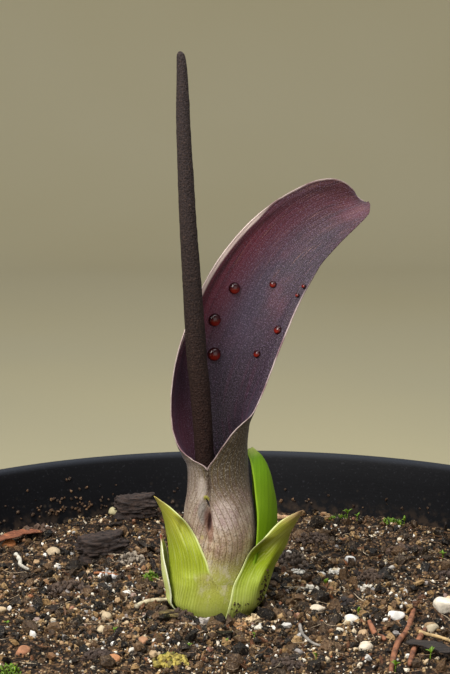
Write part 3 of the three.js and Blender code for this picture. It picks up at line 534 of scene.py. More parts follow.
def twenty_faces():
    """Corners and outward faces of a regular twenty-sided ball: corners are the even turns of (0, 1,
    golden ratio), faces are the corner triples that all lie an edge apart."""
    gold = (1 + 5 ** 0.5) / 2
    corners = []
    for a in (-1, 1):
        for b in (-gold, gold):
            corners += [(0, a, b), (a, b, 0), (b, 0, a)]
    corners = np.array(corners, float)
    apart = np.linalg.norm(corners[:, None] - corners[None], axis=-1)
    near = np.abs(apart - 2) < 1e-6
    i, j, k = np.nonzero(near[:, :, None] & near[:, None, :] & near[None])
    triples = np.unique(np.sort(np.stack([i, j, k], 1), 1), axis=0)
    a, b, c = (corners[triples[:, n]] for n in range(3))
    turned_in = np.einsum("ij,ij->i", a, np.cross(b, c)) < 0
    triples[turned_in] = triples[turned_in][:, ::-1]
    return corners / np.linalg.norm(corners[0]), triples


def eight_faces():
    """Corners and outward faces of a regular eight-sided ball: one corner on each axis's two ends."""
    corners = np.array([(1, 0, 0), (0, 1, 0), (-1, 0, 0), (0, -1, 0), (0, 0, 1), (0, 0, -1)], float)
    round_ = np.array([(k, (k + 1) % 4) for k in range(4)])
    top = np.concatenate([round_, np.full((4, 1), 4)], 1)
    bottom = np.concatenate([round_[:, ::-1], np.full((4, 1), 5)], 1)
    return corners, np.concatenate([top, bottom])


def crumbs(places, sizes, tint, rng, rough=0.3, flat=0.0, ball=twenty_faces):
    """Broken bits: each is a small ball with every corner pushed in or out by chance, stretched to its
    three sizes and turned by a random rotation; flat keeps the shortest axis nearly upright."""
    corners, triples = ball()
    count, many = len(places), len(corners)
    q = unit(rng.normal(size=(count, 4)) * np.array([1, 1 - flat, 1 - flat, 1]))
    w, x, y, z = q.T
    turn = np.stack([
        1 - 2 * (y * y + z * z), 2 * (x * y - w * z), 2 * (x * z + w * y),
        2 * (x * y + w * z), 1 - 2 * (x * x + z * z), 2 * (y * z - w * x),
        2 * (x * z - w * y), 2 * (y * z + w * x), 1 - 2 * (x * x + y * y)], -1).reshape(count, 3, 3)
    shape = corners[None] * (1 + rng.uniform(-rough, rough, (count, many, 1))) * sizes[:, None]
    points = np.einsum("nij,nkj->nki", turn, shape) + places[:, None]
    faces = triples[None] + np.arange(count)[:, None, None] * many
    return points.reshape(-1, 3), faces.reshape(-1, 3), {"tint": np.repeat(tint, many)}


# shader helpers

def arithmetic(operation, reflected=False):
    """Method of Value for one of Python's operators; a reflected one has the value on its right."""
    def method(value, other):
        pair = (other, value) if reflected else (value, other)
        return value.paint.math(operation, *pair)
    return method


class Value:
    """A socket that Python arithmetic works on; every operator adds one Math node."""

    def __init__(self, paint, socket):
        self.paint = paint
        self.socket = socket

    __add__, __radd__ = arithmetic("ADD"), arithmetic("ADD", True)
    __sub__, __rsub__ = arithmetic("SUBTRACT"), arithmetic("SUBTRACT", True)
    __mul__, __rmul__ = arithmetic("MULTIPLY"), arithmetic("MULTIPLY", True)
    __truediv__, __rtruediv__ = arithmetic("DIVIDE"), arithmetic("DIVIDE", True)
    __pow__ = arithmetic("POWER")

    def math(self, operation, *others):
        """This value and others put through one Math node."""
        return self.paint.math(operation, self, *others)

    def step(self, low, high):
        """0 below low, 1 above high, smooth between; turned round when low is the higher."""
        return self.paint.step(self, low, high)


class Paint:
    """One procedural material, made node by node. Its methods return what a node gives as a Value."""

    def __init__(self, name):
        self.material = bpy.data.materials.new(name)
        self.material.use_nodes = True
        self.tree = self.material.node_tree
        self.tree.nodes.clear()

    def node(self, kind, settings=None, inputs=None):
        """A node of that kind: its settings first, then the values or links of its sockets."""
        node = self.tree.nodes.new(kind)
        for key, value in (settings or {}).items():
            if key == "stops":
                ramp = node.color_ramp
                while len(ramp.elements) < len(value):
                    ramp.elements.new(0.5)
                for element, (place, colour) in zip(ramp.elements, value):
                    element.position = place
                    element.color = (*colour, 1)
            else:
                setattr(node, key, value)
        for key, value in (inputs or {}).items():
            if isinstance(value, Value):
                self.tree.links.new(value.socket, node.inputs[key])
            else:
                node.inputs[key].default_value = value
        return node

    def value(self, kind, settings, inputs, output=0):
        """One output of a new node."""
        return Value(self, self.node(kind, settings, inputs).outputs[output])

    def math(self, operation, *values):
        """Values put through one Math node."""
        return self.value("ShaderNodeMath", {"operation": operation}, dict(enumerate(values)))

    def step(self, value, low, high):
        """A Map Range node with a smooth step."""
        return self.value("ShaderNodeMapRange", {"interpolation_type": "SMOOTHSTEP"},
                          {0: value, 1: low, 2: high})

    def fact(self, name):
        """A number kept on the mesh under that name."""
        return self.value("ShaderNodeAttribute", {"attribute_name": name}, None, "Fac")

    def place(self, scale=(1000, 1000, 1000)):
        """Object coordinates times a scale, millimetres unless told otherwise."""
        return self.stretch(self.value("ShaderNodeTexCoord", None, None, "Object"), scale)

    def stretch(self, vector, scale):
        """A vector times a scale, part by part."""
        return self.value("ShaderNodeVectorMath", {"operation": "MULTIPLY"}, {0: vector, 1: scale})

    def height(self):
        """Millimetres over the soil."""
        return self.value("ShaderNodeSeparateXYZ", None, {0: self.place()}, 2) - SOIL_Z

    def along(self, across, length):
        """A vector of two surface numbers, for patterns that follow the surface."""
        return self.value("ShaderNodeCombineXYZ", None, {0: across, 1: length})

    def noise(self, vector, scale, detail=3.0, rough=0.55):
        """Smooth noise between 0 and 1 over a vector."""
        return self.value("ShaderNodeTexNoise", None,
                          {"Vector": vector, "Scale": scale, "Detail": detail, "Roughness": rough})

    def cells(self, vector, scale):
        """Distance to the nearest cell centre, and that cell's own random colour."""
        node = self.node("ShaderNodeTexVoronoi", None, {"Vector": vector, "Scale": scale})
        return Value(self, node.outputs[0]), Value(self, node.outputs[1])

    def mix(self, factor, first, second):
        """The first colour where the factor is 0, the second where it is 1."""
        first = first if isinstance(first, Value) else (*first, 1)
        second = second if isinstance(second, Value) else (*second, 1)
        return self.value("ShaderNodeMix", {"data_type": "RGBA"}, {0: factor, 6: first, 7: second}, 2)

    def layered(self, base, layers):
        """The base with other colours, given in 0 to 255, laid over it one after another by their masks."""
        for mask, level in layers:
            base = self.mix(mask, base, srgb(*level))
        return base

    def ramp(self, value, stops):
        """A colour from stops between 0 and 1."""
        return self.value("ShaderNodeValToRGB", {"stops": stops}, {0: value})

    def bump(self, height, distance, strength=1.0):
        """Surface direction from a height; distance is in millimetres."""
        return self.value("ShaderNodeBump", None,
                          {"Strength": strength, "Distance": distance * 0.001, "Height": height})

    def finish(self, colour, rough, normal=None, **fixed):
        """The surface: varying colour, roughness and normal, and everything else as a fixed number."""
        inputs = {"Base Color": colour, "Roughness": rough}
        if normal is not None:
            inputs["Normal"] = normal
        inputs.update({key.replace("_", " "): value for key, value in fixed.items()})
        shader = self.value("ShaderNodeBsdfPrincipled", None, inputs)
        self.node("ShaderNodeOutputMaterial", None, {0: shader})
        return self.material


# finishes

def pot_finish(colours):
    """Black moulded plastic: faint clouding, a fine grain round the wall, dust and splashes over the
    soil, dust on the foot and a painted blue-grey highlight on the lip."""
    p = Paint("pot_plastic")
    cloud = p.noise(p.place(), 0.05, 4)
    grain = p.noise(p.place((1000, 1000, 6000)), 0.35, 3)
    speck = p.noise(p.place(), 1.4, 3)
    within = p.fact("within")
    near = p.height().step(6, 0.5) * within + p.height().step(-84, -100) * (1 - within)
    dust = near * p.noise(p.place(), 0.4, 5).step(0.42, 0.62)
    splash = p.cells(p.place(), 0.28)[0].step(0.2, 0.08) * p.height().step(14, 2) * within
    base = p.mix(cloud, colours.pot, tuple(1.6 * v for v in colours.pot))
    base = p.layered(base, (
        (speck.step(0.6, 0.72) * 0.35, (58, 58, 62)),
        (dust * 0.5, (72, 58, 46)),
        (splash * 0.25, (96, 84, 70)),
    ))
    # painted highlight: the rolled lip is lightened to blue grey, standing for the light's reflection on the
    # rim
    lip = p.height().step(17.2, 18.8)
    base = p.mix(lip * 0.35, base, srgb(64, 68, 76))
    rough = 0.5 + 0.16 * grain + 0.2 * dust
    return p.finish(base, rough, p.bump(grain + 0.6 * cloud, 0.06, 0.5), Specular_IOR_Level=0.1)


def soil_finish():
    """Damp potting mix: grains of two sizes, each with its own tone from near black to pale, painted shade
    in the gaps between them, and a slow change over the bed."""
    p = Paint("soil_mix")
    patch = p.noise(p.place(), 0.09, 4)
    fine = p.noise(p.place(), 1.2, 5, 0.7)
    big, big_shade = p.cells(p.place(), 0.8)
    small, small_shade = p.cells(p.place(), 2.1)
    shade = 0.5 * big_shade + 0.4 * small_shade + 0.25 * patch - 0.1
    base = p.ramp(shade, [
        (0.0, srgb(12, 8, 6)), (0.34, srgb(32, 23, 15)), (0.5, srgb(72, 52, 34)), (0.64, srgb(118, 88, 60)),
        (0.78, srgb(160, 130, 96)), (0.9, srgb(214, 198, 166)), (1.0, srgb(236, 228, 210))])
    # painted shade: near black where the grains' cells meet, in the gaps between them
    base = p.mix(big.step(0.35, 0.7) * 0.85, base, srgb(9, 6, 5))
    height = 0.6 * big + 0.35 * small - 0.5 * fine
    return p.finish(base, 0.75 - 0.3 * fine, p.bump(1.0 - height, 1.1, 1.0), Specular_IOR_Level=0.2)


def crumb_finish(name, stops, rough=0.7, pale=0.42):
    """Broken bits: each keeps its own tone by its tint, with painted shade in the pores where the grain
    sinks, and pale grains on its rises that are partly pale mineral and partly painted highlight.
    """
    p = Paint(name)
    grain = p.noise(p.place(), 1.9, 4, 0.7)
    base = p.ramp(p.fact("tint"), stops)
    # painted shade: near black in the pores, where the grain's bump sinks
    base = p.mix(grain.step(0.48, 0.36) * 0.85, base, srgb(9, 6, 5))
    # pale grains where the grain's bump rises: partly pale mineral, partly painted highlight
    base = p.mix(grain.step(0.56, 0.7) * pale, base, srgb(206, 184, 150))
    return p.finish(base, rough - 0.35 * grain, p.bump(grain, 0.4, 1.0), Specular_IOR_Level=0.25)


def grit_finish():
    """Loose mineral grit: tint picks brown, tan, cream, white, grey or red-brown."""
    p = Paint("pale_grit")
    grain = p.noise(p.place(), 1.3, 4, 0.65)
    base = p.ramp(p.fact("tint"), [
        (0.0, srgb(96, 70, 48)), (0.24, srgb(138, 100, 68)), (0.42, srgb(168, 140, 104)),
        (0.58, srgb(208, 190, 158)), (0.74, srgb(240, 234, 222)), (0.88, srgb(146, 142, 138)),
        (1.0, srgb(150, 92, 54))])
    base = p.mix(grain.step(0.5, 0.7) * 0.5, base, srgb(64, 50, 38))
    return p.finish(base, 0.6 + 0.15 * grain, p.bump(grain, 0.3, 0.7), Specular_IOR_Level=0.25)


def stone_finish(name, colour):
    """Crushed stone: chalky faces, darker pits and a little soil caught low down."""
    p = Paint(name)
    cloud = p.noise(p.place(), 0.5, 4)
    grain = p.noise(p.place(), 2.4, 4, 0.7)
    tone = srgb(*colour)
    base = p.mix(cloud.step(0.3, 0.7), tuple(0.72 * v for v in tone), tone)
    base = p.mix(grain.step(0.56, 0.72) * 0.5, base, tuple(0.4 * v for v in tone))
    soiled = p.height().step(1.6, -0.2) * p.noise(p.place(), 1.1, 4).step(0.4, 0.6)
    base = p.mix(soiled * 0.85, base, srgb(74, 58, 44))
    return p.finish(base, 0.72, p.bump(grain + cloud, 0.25, 0.8))


def bark_finish(name, dark, light):
    """Rotting bark: fibres run the long way, with paler broken edges and dark gaps."""
    p = Paint(name)
    fibre = p.noise(p.place((300, 1500, 2200)), 0.9, 6, 0.7)
    cloud = p.noise(p.place(), 0.25, 3)
    base = p.mix(fibre.step(0.38, 0.7), dark, light)
    base = p.mix(cloud.step(0.55, 0.75) * 0.5, base, tuple(1.7 * v for v in light))
    return p.finish(base, 0.8, p.bump(fibre, 0.8, 1.0))


def stalk_finish(name, dark, light):
    """Dry stalk or root: blotches from dark to light with fine lengthwise grain."""
    p = Paint(name)
    blotch = p.noise(p.place(), 0.35, 3)
    grain = p.noise(p.place((3000, 700, 3000)), 0.8, 4)
    base = p.mix(blotch.step(0.35, 0.65), dark, light)
    base = p.mix(grain.step(0.5, 0.8) * 0.5, base, tuple(min(1, 1.9 * v) for v in light))
    return p.finish(base, 0.66, p.bump(grain, 0.2, 0.8))


def tuber_finish():
    """Corky brown skin with ringed creases."""
    p = Paint("tuber_skin")
    ring = p.noise(p.place((300, 300, 2600)), 0.4, 4)
    cork = p.noise(p.place(), 0.6, 5, 0.7)
    base = p.mix(cork.step(0.35, 0.7), srgb(70, 48, 32), srgb(146, 112, 76))
    return p.finish(base, 0.85, p.bump(ring + cork, 0.5, 0.9))


def spathe_finish(colours, sizes):
    """Spathe skin. Inside: wine dark velvet with pale speckle and lengthwise streaks, redder up the limb,
    with painted shade and a painted red glow at the curled tip. Outside: a tube that runs from yellow
    green through buff to dusky brown, with mottling and fine veins, painted highlights on its flank and
    bulge, and painted shade in the seam's groove, the hollows and the slit under the mouth. The margin
    is pale, with a painted shadow line inside it on the upper left."""
    p = Paint("spathe_skin")
    across, length = p.fact("across"), p.fact("length")
    z = p.height()
    side = p.fact("side").step(0.3, 0.7)
    grid = p.along(across, length)
    streak = p.noise(p.stretch(grid, (1.0, 0.06, 1)), 0.7, 4, 0.6)
    thread = p.noise(p.stretch(grid, (1.0, 0.04, 1)), 2.2, 3, 0.6)
    speckle = p.noise(p.stretch(grid, (1.0, 0.6, 1)), 2.9, 3, 0.7)
    dots = p.noise(p.stretch(grid, (1.0, 0.8, 1)), 4.6, 2, 0.6)
    cloud = p.noise(p.stretch(grid, (1.0, 0.5, 1)), 0.11, 3)
    # inside of the limb
    along = length / SPATHE_LENGTH
    # its last stops darken the tip to deep red: painted shade with a painted red glow where the tip curls
    # over
    inside = p.ramp(along.math("MINIMUM", 1.0), [
        (0.0, srgb(20, 10, 13)), (0.36, srgb(15, 6, 10)), (0.46, srgb(22, 11, 17)), (0.6, colours.limb),
        (0.76, colours.limb_glow), (0.88, srgb(54, 24, 29)), (0.95, srgb(44, 12, 11)),
        (1.0, srgb(36, 20, 24))])
    turn = p.fact("turn")
    inside = p.layered(inside, (
        (turn.step(0.1, -0.85) * z.step(56, 82) * z.step(114, 98) * 0.85, (108, 36, 50)),
        (turn.step(0.0, -0.9) * z.step(70, 44) * 0.9, (100, 46, 60)),
        (turn.step(-0.2, 0.3) * z.step(74, 54) * 0.5, (26, 9, 14)),
        (turn.step(0.0, 0.7) * z.step(108, 100) * 0.85, (27, 9, 19)),
        # painted shade with a painted red glow, where the limb's tip curls over
        (along.step(0.85, 0.94) * 0.6, (66, 16, 16)),
        (cloud.step(0.45, 0.7) * z.step(60, 80) * 0.4, (84, 36, 48)),
        (streak.step(0.5, 0.64) * 0.4, (24, 11, 20)),
        (thread.step(0.56, 0.7) * z.step(74, 98) * dots.step(0.4, 0.6) * 0.5, (146, 104, 84)),
        (thread.step(0.46, 0.34) * z.step(96, 60) * 0.35, (24, 12, 22)),
        (streak.step(0.46, 0.36) * z.step(80, 50) * 0.5, (62, 22, 40)),
        (speckle.step(0.5, 0.68) * 0.3, (132, 112, 142)),
        (dots.step(0.56, 0.68) * 0.36, (176, 154, 170)),
    ))
    # outside of the tube and limb
    outside = p.ramp((z / SPATHE_TOP).math("MINIMUM", 1.0), [
        (0.0, srgb(172, 180, 84)), (0.07, srgb(164, 166, 72)), (0.115, srgb(162, 154, 84)),
        (0.16, srgb(168, 144, 110)), (0.23, srgb(160, 140, 122)), (0.27, srgb(132, 114, 96)),
        (0.31, srgb(92, 78, 60)), (0.36, srgb(68, 58, 40)), (0.6, srgb(56, 44, 34)),
        (1.0, srgb(60, 34, 36))])
    seam, lift = p.fact("seam"), p.fact("lift")

    def spot(centre, wide, level, tall, slant=0.0):
        """1 inside a lens at a place given by degrees right of the seam and by height, 0 outside."""
        a = (seam - centre + slant * (lift - level)) / wide
        b = (lift - level) / tall
        return (a * a + b * b).step(1.0, 0.25)

    mottle = p.noise(p.stretch(grid, (1.0, 0.6, 1)), 0.36, 5, 0.62)
    high = z.step(10, 17)
    wander = p.noise(p.stretch(grid, (0.3, 0.05, 1)), 1.0, 2)
    wave = across * (2 * math.pi / (sizes.vein_spacing * 1000)) + 0.8 * wander
    vein = (wave.math("SINE") * 0.5 + 0.5) ** 16
    outside = p.layered(outside, (
        # painted highlights: a pale patch on the flank left of the seam and a paler one on the bulge to its
        # right
        (spot(-34, 32, 36, 9) * 0.6, (150, 134, 120)),
        (spot(26, 26, 27.0, 5.0) * 0.55, (186, 168, 158)),
        (mottle.step(0.44, 0.64) * high * z.step(42, 26) * 0.42, (116, 76, 80)),
        # pale mottle low on the tube, partly the skin's own marks and partly painted highlight
        (mottle.step(0.5, 0.36) * z.step(38, 14) * 0.4, (206, 192, 178)),
        (speckle.step(0.54, 0.66) * 0.4, (206, 196, 182)),
        (speckle.step(0.5, 0.34) * (0.25 + 0.5 * high), (50, 34, 28)),
        (dots.step(0.6, 0.7) * 0.4, (224, 214, 202)),
        (vein * high * z.step(90, 50) * 0.7, (92, 74, 32)),
        # under the mouth: painted shade in the seam's groove, a painted highlight on the flank, painted grey
        # shading on the flap, painted shade in the two hollows, a pale crease, an olive rim and painted
        # shade in the dark slit
        (spot(1.5, 3.5, 34.5, 5.5) * 0.55, (58, 42, 32)),
        (spot(-14, 12, 34.0, 4.0) * 0.35, (196, 184, 170)),
        (spot(-8.5, 9, 27.6, 4.0, 0.8) * 0.5, (98, 98, 94)),
        (spot(2.0, 8.5, 24.0, 5.5, 1.0) * 0.6, (112, 64, 46)),
        (spot(1.2, 4.2, 24.9, 3.0) * 0.9, (44, 14, 9)),
        (spot(-8.0, 3.0, 20.6, 0.9) * 0.4, (186, 172, 92)),
        (spot(-4.2, 5.5, 31.5, 0.95, 2.2) * 0.85, (150, 144, 52)),
        (spot(-2.4, 2.6, 30.2, 1.6, 2.2) * 0.95, (20, 9, 10)),
    ))
    colour = p.mix(side, inside, outside)
    left = turn.step(0.1, -0.1)
    cream = left * z.step(64, 78) * z.step(109, 103)
    width = cream * (sizes.margin_width * 1150) + sizes.margin_width * 350
    # painted shadow: a dark line just inside the pale upper-left margin, where the margin rolls
    colour = p.mix(p.fact("margin").step(4.4, 2.4) * cream * 0.5, colour, srgb(34, 10, 16))
    edge = p.fact("margin").step(width, width * 0.5)
    blotch = p.noise(p.stretch(grid, (1, 0.5, 1)), 0.3, 2)
    tone = p.mix(blotch.step(0.35, 0.65), srgb(150, 112, 116), colours.margin)
    tone = p.mix(cream * 0.8, tone, colours.margin)
    edge = edge * (0.5 + 0.5 * cream) * (left + (1 - left) * z.step(92, 76))
    colour = p.mix(edge, colour, tone)
    relief = 0.5 * streak + 0.35 * speckle + 0.3 * mottle - vein * high * 0.3
    return p.finish(colour, 0.5 + 0.2 * speckle, p.bump(relief, 0.2, 0.8), Sheen_Weight=0.07,
                    Sheen_Roughness=0.4, Sheen_Tint=(0.66, 0.7, 1.0, 1), Specular_IOR_Level=0.27)


def spadix_finish(colours):
    """Appendix skin: dark chocolate, finely granular, greyer to the top as painted sheen and darker and
    redder lower down.
    """
    p = Paint("spadix_skin")
    z = p.height()
    grain = p.noise(p.place(), 2.3, 4, 0.75)
    pits = p.cells(p.place(), 1.7)[0]
    # painted sheen: the skin turns greyer towards the top
    base = p.mix(z.step(45, 150), colours.spadix, srgb(54, 46, 46))
    base = p.layered(base, (
        (grain.step(0.5, 0.68) * 0.6, (86, 66, 54)),
        # darker and redder lower down
        (z.step(90, 45) * 0.5, (40, 18, 12)),
        (grain.step(0.48, 0.34) * 0.75, (10, 6, 5)),
        (z.step(20, 5), (196, 176, 110)),
    ))
    return p.finish(base, 0.75, p.bump(grain + 0.7 * pits, 0.42, 0.9), Specular_IOR_Level=0.18)


def leaf_finish(name, tones, tip_from, tip_to, rib, ribs, edge_width, streaks, rough=0.45):
    """Sheath leaf: the tones climb from foot over body and top to the tip, which starts and ends at two
    heights. Ribs of the given spacing and strength run up it, and its margin and streaks take the last
    tone. The left sheath's ring, which clings to the tube, takes the tube's colours, with its pale mottle
    that is partly painted highlight."""
    foot, body, high, tip, margin = tones
    p = Paint(name)
    across, z = p.fact("across"), p.height()
    grid = p.along(across, p.fact("length"))
    wander = p.noise(p.stretch(grid, (0.5, 0.04, 1)), 1.0, 2)
    wave = (across * (2 * math.pi / rib) + 2.0 * wander).math("SINE") * 0.5 + 0.5
    streak = p.noise(p.stretch(grid, (1.0, 0.05, 1)), 1.6, 4, 0.65)
    cells = p.noise(p.stretch(grid, (1.0, 0.7, 1)), 2.8, 3, 0.7)
    cloud = p.noise(p.place(), 0.12, 3)
    base = p.mix(z.step(-2, 14), foot, body)
    base = p.mix(z.step(tip_from - 12, tip_from), base, high)
    base = p.mix(cloud.step(0.4, 0.7) * 0.3, base, tuple(0.72 * v for v in body))
    ring = p.fact("ring")
    own = p.ramp((z + 2) / 20, [
        (0.0, srgb(180, 188, 92)), (0.3, srgb(160, 164, 66)), (0.5, srgb(152, 150, 66)),
        (0.75, srgb(150, 138, 78))])
    base = p.mix(ring.step(0.2, 0.9), base, own)
    mottle = p.noise(p.stretch(grid, (1.0, 0.6, 1)), 0.36, 5, 0.62)
    # the tube's pale mottle, partly painted highlight, carried onto the ring
    base = p.mix(mottle.step(0.5, 0.36) * ring * z.step(-1, 8) * 0.4, base, srgb(206, 192, 178))
    base = p.mix(cells.step(0.48, 0.34) * ring * z.step(-1, 8) * 0.45, base, srgb(56, 38, 30))
    base = p.mix(wave ** 3 * ribs * (1 - 0.7 * ring), base, tuple(0.5 * v for v in body))
    base = p.mix(streak.step(0.5, 0.68) * streaks * (1 - 0.8 * ring), base, margin)
    base = p.mix(cells.step(0.56, 0.72) * streaks * 0.8, base, margin)
    base = p.mix(cells.step(0.44, 0.3) * 0.3, base, tuple(0.4 * v for v in body))
    base = p.mix(z.step(tip_from, tip_to), base, tip)
    edge = p.fact("margin").step(edge_width, edge_width * 0.2)
    base = p.mix(edge * z.step(tip_to, tip_from) * (1 - ring) * 0.7, base, margin)
    relief = wave * ribs * (1 - 0.8 * ring) + streak * 0.5 + cells * 0.3
    return p.finish(base, rough + 0.15 * cells, p.bump(relief, 0.16, 0.8), Specular_IOR_Level=0.24)


def dew_finish(colours):
    """Drop of water over dark skin: deep red on top, a painted amber glow below, painted shade round its
    edge and a glossy coat.
    """
    p = Paint("dew")
    low = p.fact("low")
    # painted glow: the hanging side turns amber red, as if light gathered through the drop
    base = p.mix(low.step(-0.4, 0.95), srgb(46, 11, 12), colours.drop)
    # painted shade: a dark edge round the drop
    base = p.mix(p.fact("rim").step(0.7, 1.0) * 0.8, base, srgb(24, 6, 8))
    return p.finish(base, 0.16, Coat_Weight=0.25, Coat_Roughness=0.03, IOR=1.33, Specular_IOR_Level=0.5)


def moss_finish(colours):
    """Moss and seedlings: tint goes from deep to bright green."""
    p = Paint("moss_leaf")
    base = p.mix(p.fact("tint"), colours.moss, tuple(min(1, 3.2 * v) for v in colours.moss))
    base = p.mix(p.noise(p.place(), 0.8, 3).step(0.55, 0.7) * 0.35, base, srgb(150, 168, 40))
    return p.finish(base, 0.5)


def stage_finish():
    """Pale studio paper with the faintest unevenness, painted paler further back as painted light that
    evens out the lamps' fall-off.
    """
    p = Paint("studio_paper")
    away = p.value("ShaderNodeSeparateXYZ", None, {0: p.place((1, 1, 1))}, 1)
    cloud = p.noise(p.place((1, 1, 1)), 2.2, 2)
    # painted light: the paper is paler further back, evening out the lamps' fall-off
    base = p.mix(away.step(0.4, 1.7), srgb(166, 159, 130), srgb(200, 191, 158))
    return p.finish(p.mix(cloud.step(0.3, 0.7) * 0.35, base, srgb(190, 178, 136)), 0.9)


# property groups

class BiarumSizes(bpy.types.PropertyGroup):
    """Sizes and numbers that a user would change."""
    vein_spacing: FloatProperty(
        name="Vein spacing", description="Distance between the fine veins of the spathe tube",
        default=0.0016, min=0.0004, unit="LENGTH")
    rib_spacing: FloatProperty(
        name="Rib spacing", description="Distance between the ribs of the sheath leaves",
        default=0.0009, min=0.0003, unit="LENGTH")
    margin_width: FloatProperty(
        name="Margin width", description="Width of the pale margin of the spathe",
        default=0.0009, min=0.0, unit="LENGTH")
    crumb_size: FloatProperty(
        name="Crumb size", description="Half size of a middling crumb of soil",
        default=0.00062, min=0.0002, unit="LENGTH")
    dark_crumbs: IntProperty(
        name="Dark crumbs", description="Number of dark crumbs on the soil",
        default=5100, min=0)
    brown_crumbs: IntProperty(
        name="Brown crumbs", description="Number of brown crumbs on the soil",
        default=4900, min=0)
    pale_grit: IntProperty(
        name="Pale grit", description="Number of pale grit grains on the soil",
        default=3000, min=0)
    fine_crumbs: IntProperty(
        name="Fine crumbs", description="Number of fine dark crumbs on the soil",
        default=14000, min=0)
    fine_grit: IntProperty(
        name="Fine grit", description="Number of fine pale grains on the soil",
        default=9200, min=0)
    chips: IntProperty(
        name="Bark chips", description="Number of flat bark chips on the soil",
        default=1300, min=0)
    fibres: IntProperty(
        name="Fibres", description="Number of fine root fibres on the soil",
        default=1000, min=0)


class BiarumColours(bpy.types.PropertyGroup):
    """Colours that a user would change."""
    limb: FloatVectorProperty(
        name="Limb", description="Inside of the spathe, middle",
        subtype="COLOR", default=srgb(58, 47, 62), min=0, max=1)
    limb_glow: FloatVectorProperty(
        name="Limb glow", description="Inside of the spathe, upper part",
        subtype="COLOR", default=srgb(48, 35, 47), min=0, max=1)
    margin: FloatVectorProperty(
        name="Spathe margin", description="Pale margin of the spathe",
        subtype="COLOR", default=srgb(226, 204, 196), min=0, max=1)
    spadix: FloatVectorProperty(
        name="Spadix", description="Skin of the appendix",
        subtype="COLOR", default=srgb(34, 22, 17), min=0, max=1)
    sheath: FloatVectorProperty(
        name="Left sheath", description="Body of the left sheath leaf",
        subtype="COLOR", default=srgb(154, 166, 40), min=0, max=1)
    sheath_right: FloatVectorProperty(
        name="Right sheath", description="Body of the right sheath leaf",
        subtype="COLOR", default=srgb(134, 152, 12), min=0, max=1)
    green: FloatVectorProperty(
        name="Green leaf", description="Body of the green leaf",
        subtype="COLOR", default=srgb(98, 130, 0), min=0, max=1)
    pale: FloatVectorProperty(
        name="Small sheath", description="Body of the small sheath",
        subtype="COLOR", default=srgb(206, 216, 118), min=0, max=1)
    # painted glow: the amber red lit at the foot of each drop
    drop: FloatVectorProperty(
        name="Dew", description="Glow at the foot of a drop",
        subtype="COLOR", default=srgb(134, 32, 20), min=0, max=1)
    pot: FloatVectorProperty(
        name="Pot", description="Plastic of the pot",
        subtype="COLOR", default=srgb(9, 9, 11), min=0, max=1)
    peat: FloatVectorProperty(
        name="Peat", description="Darkest soil",
        subtype="COLOR", default=srgb(34, 25, 16), min=0, max=1)
    crumb: FloatVectorProperty(
        name="Crumb", description="Brown soil",
        subtype="COLOR", default=srgb(100, 75, 49), min=0, max=1)
    moss: FloatVectorProperty(
        name="Moss", description="Deep moss green",
        subtype="COLOR", default=srgb(64, 86, 10), min=0, max=1)


def sizes_of(context):
    """The scene's sizes and numbers."""
    return context.scene.biarum_sizes


def colours_of(context):
    """Colours as plain tuples, so that Python can scale them."""
    group = context.scene.biarum_colours
    return SimpleNamespace(**{key: tuple(getattr(group, key)) for key in BiarumColours.__annotations__})


# shapes of the pieces

def tube_relief(d, z):
    """Seam of the tube: a crease, a pinch, a bulge to its right and a flap to its left, each a bell curve
    of the angle d from the seam and the height z; the finer slit, rim, hollow and wrinkles under the
    mouth are only here."""
    def bell(x, width):
        """1 at 0, down to 1/e a width away."""
        return np.exp(-(x / width) ** 2)
    depth = np.where(z > 16, 1, np.clip((z - 8) / 8, 0, 1)) * np.where(z < 37.5, 1, 0.4)
    crease = -0.45 * bell(d, 6.0) * depth
    pinch = -0.7 * bell(d, 9.5) * bell(z - 26.5, 5.5)
    bulge = 0.55 * bell(d - 30, 22.4) * bell(z - 21, 7.5)
    flap = 0.45 * bell(d + 22, 14.1) * bell(z - 27, 4.5)
    line = -0.45 * bell(d - 0.8, 2.2) * bell(z - 35.0, 3.2)
    lens = 0.6 * bell(d + 9.5, 10.0) * bell(z - 27.4, 3.4) / (1 + np.exp((d - 0.2) / 0.7))
    hollow = -1.0 * bell(d - 2.2, 3.8) * bell(z - 24.8, 2.7)
    a, b = (d + 3.2) * 0.18, z - 30.2
    slit = -0.9 * bell(0.894 * a + 0.447 * b, 0.34) * bell(0.447 * a - 0.894 * b, 1.25)
    rim = 0.35 * bell(d + 4.0, 5.5) * bell(z - 31.8, 0.55)
    wrinkles = 0.13 * np.sin((z + 0.05 * d) * 2.1) * bell(z - 19.5, 3.8) * bell(d - 10, 20)
    foot = 0.8 * bell(z - 6.0, 4.0)
    dents = 0.14 * noise(d / 14 + 5, z / 3.4, 31) * np.clip((z - 14) / 6, 0, 1)
    return crease + pinch + bulge + flap + line + lens + hollow + slit + rim + wrinkles + foot + dents


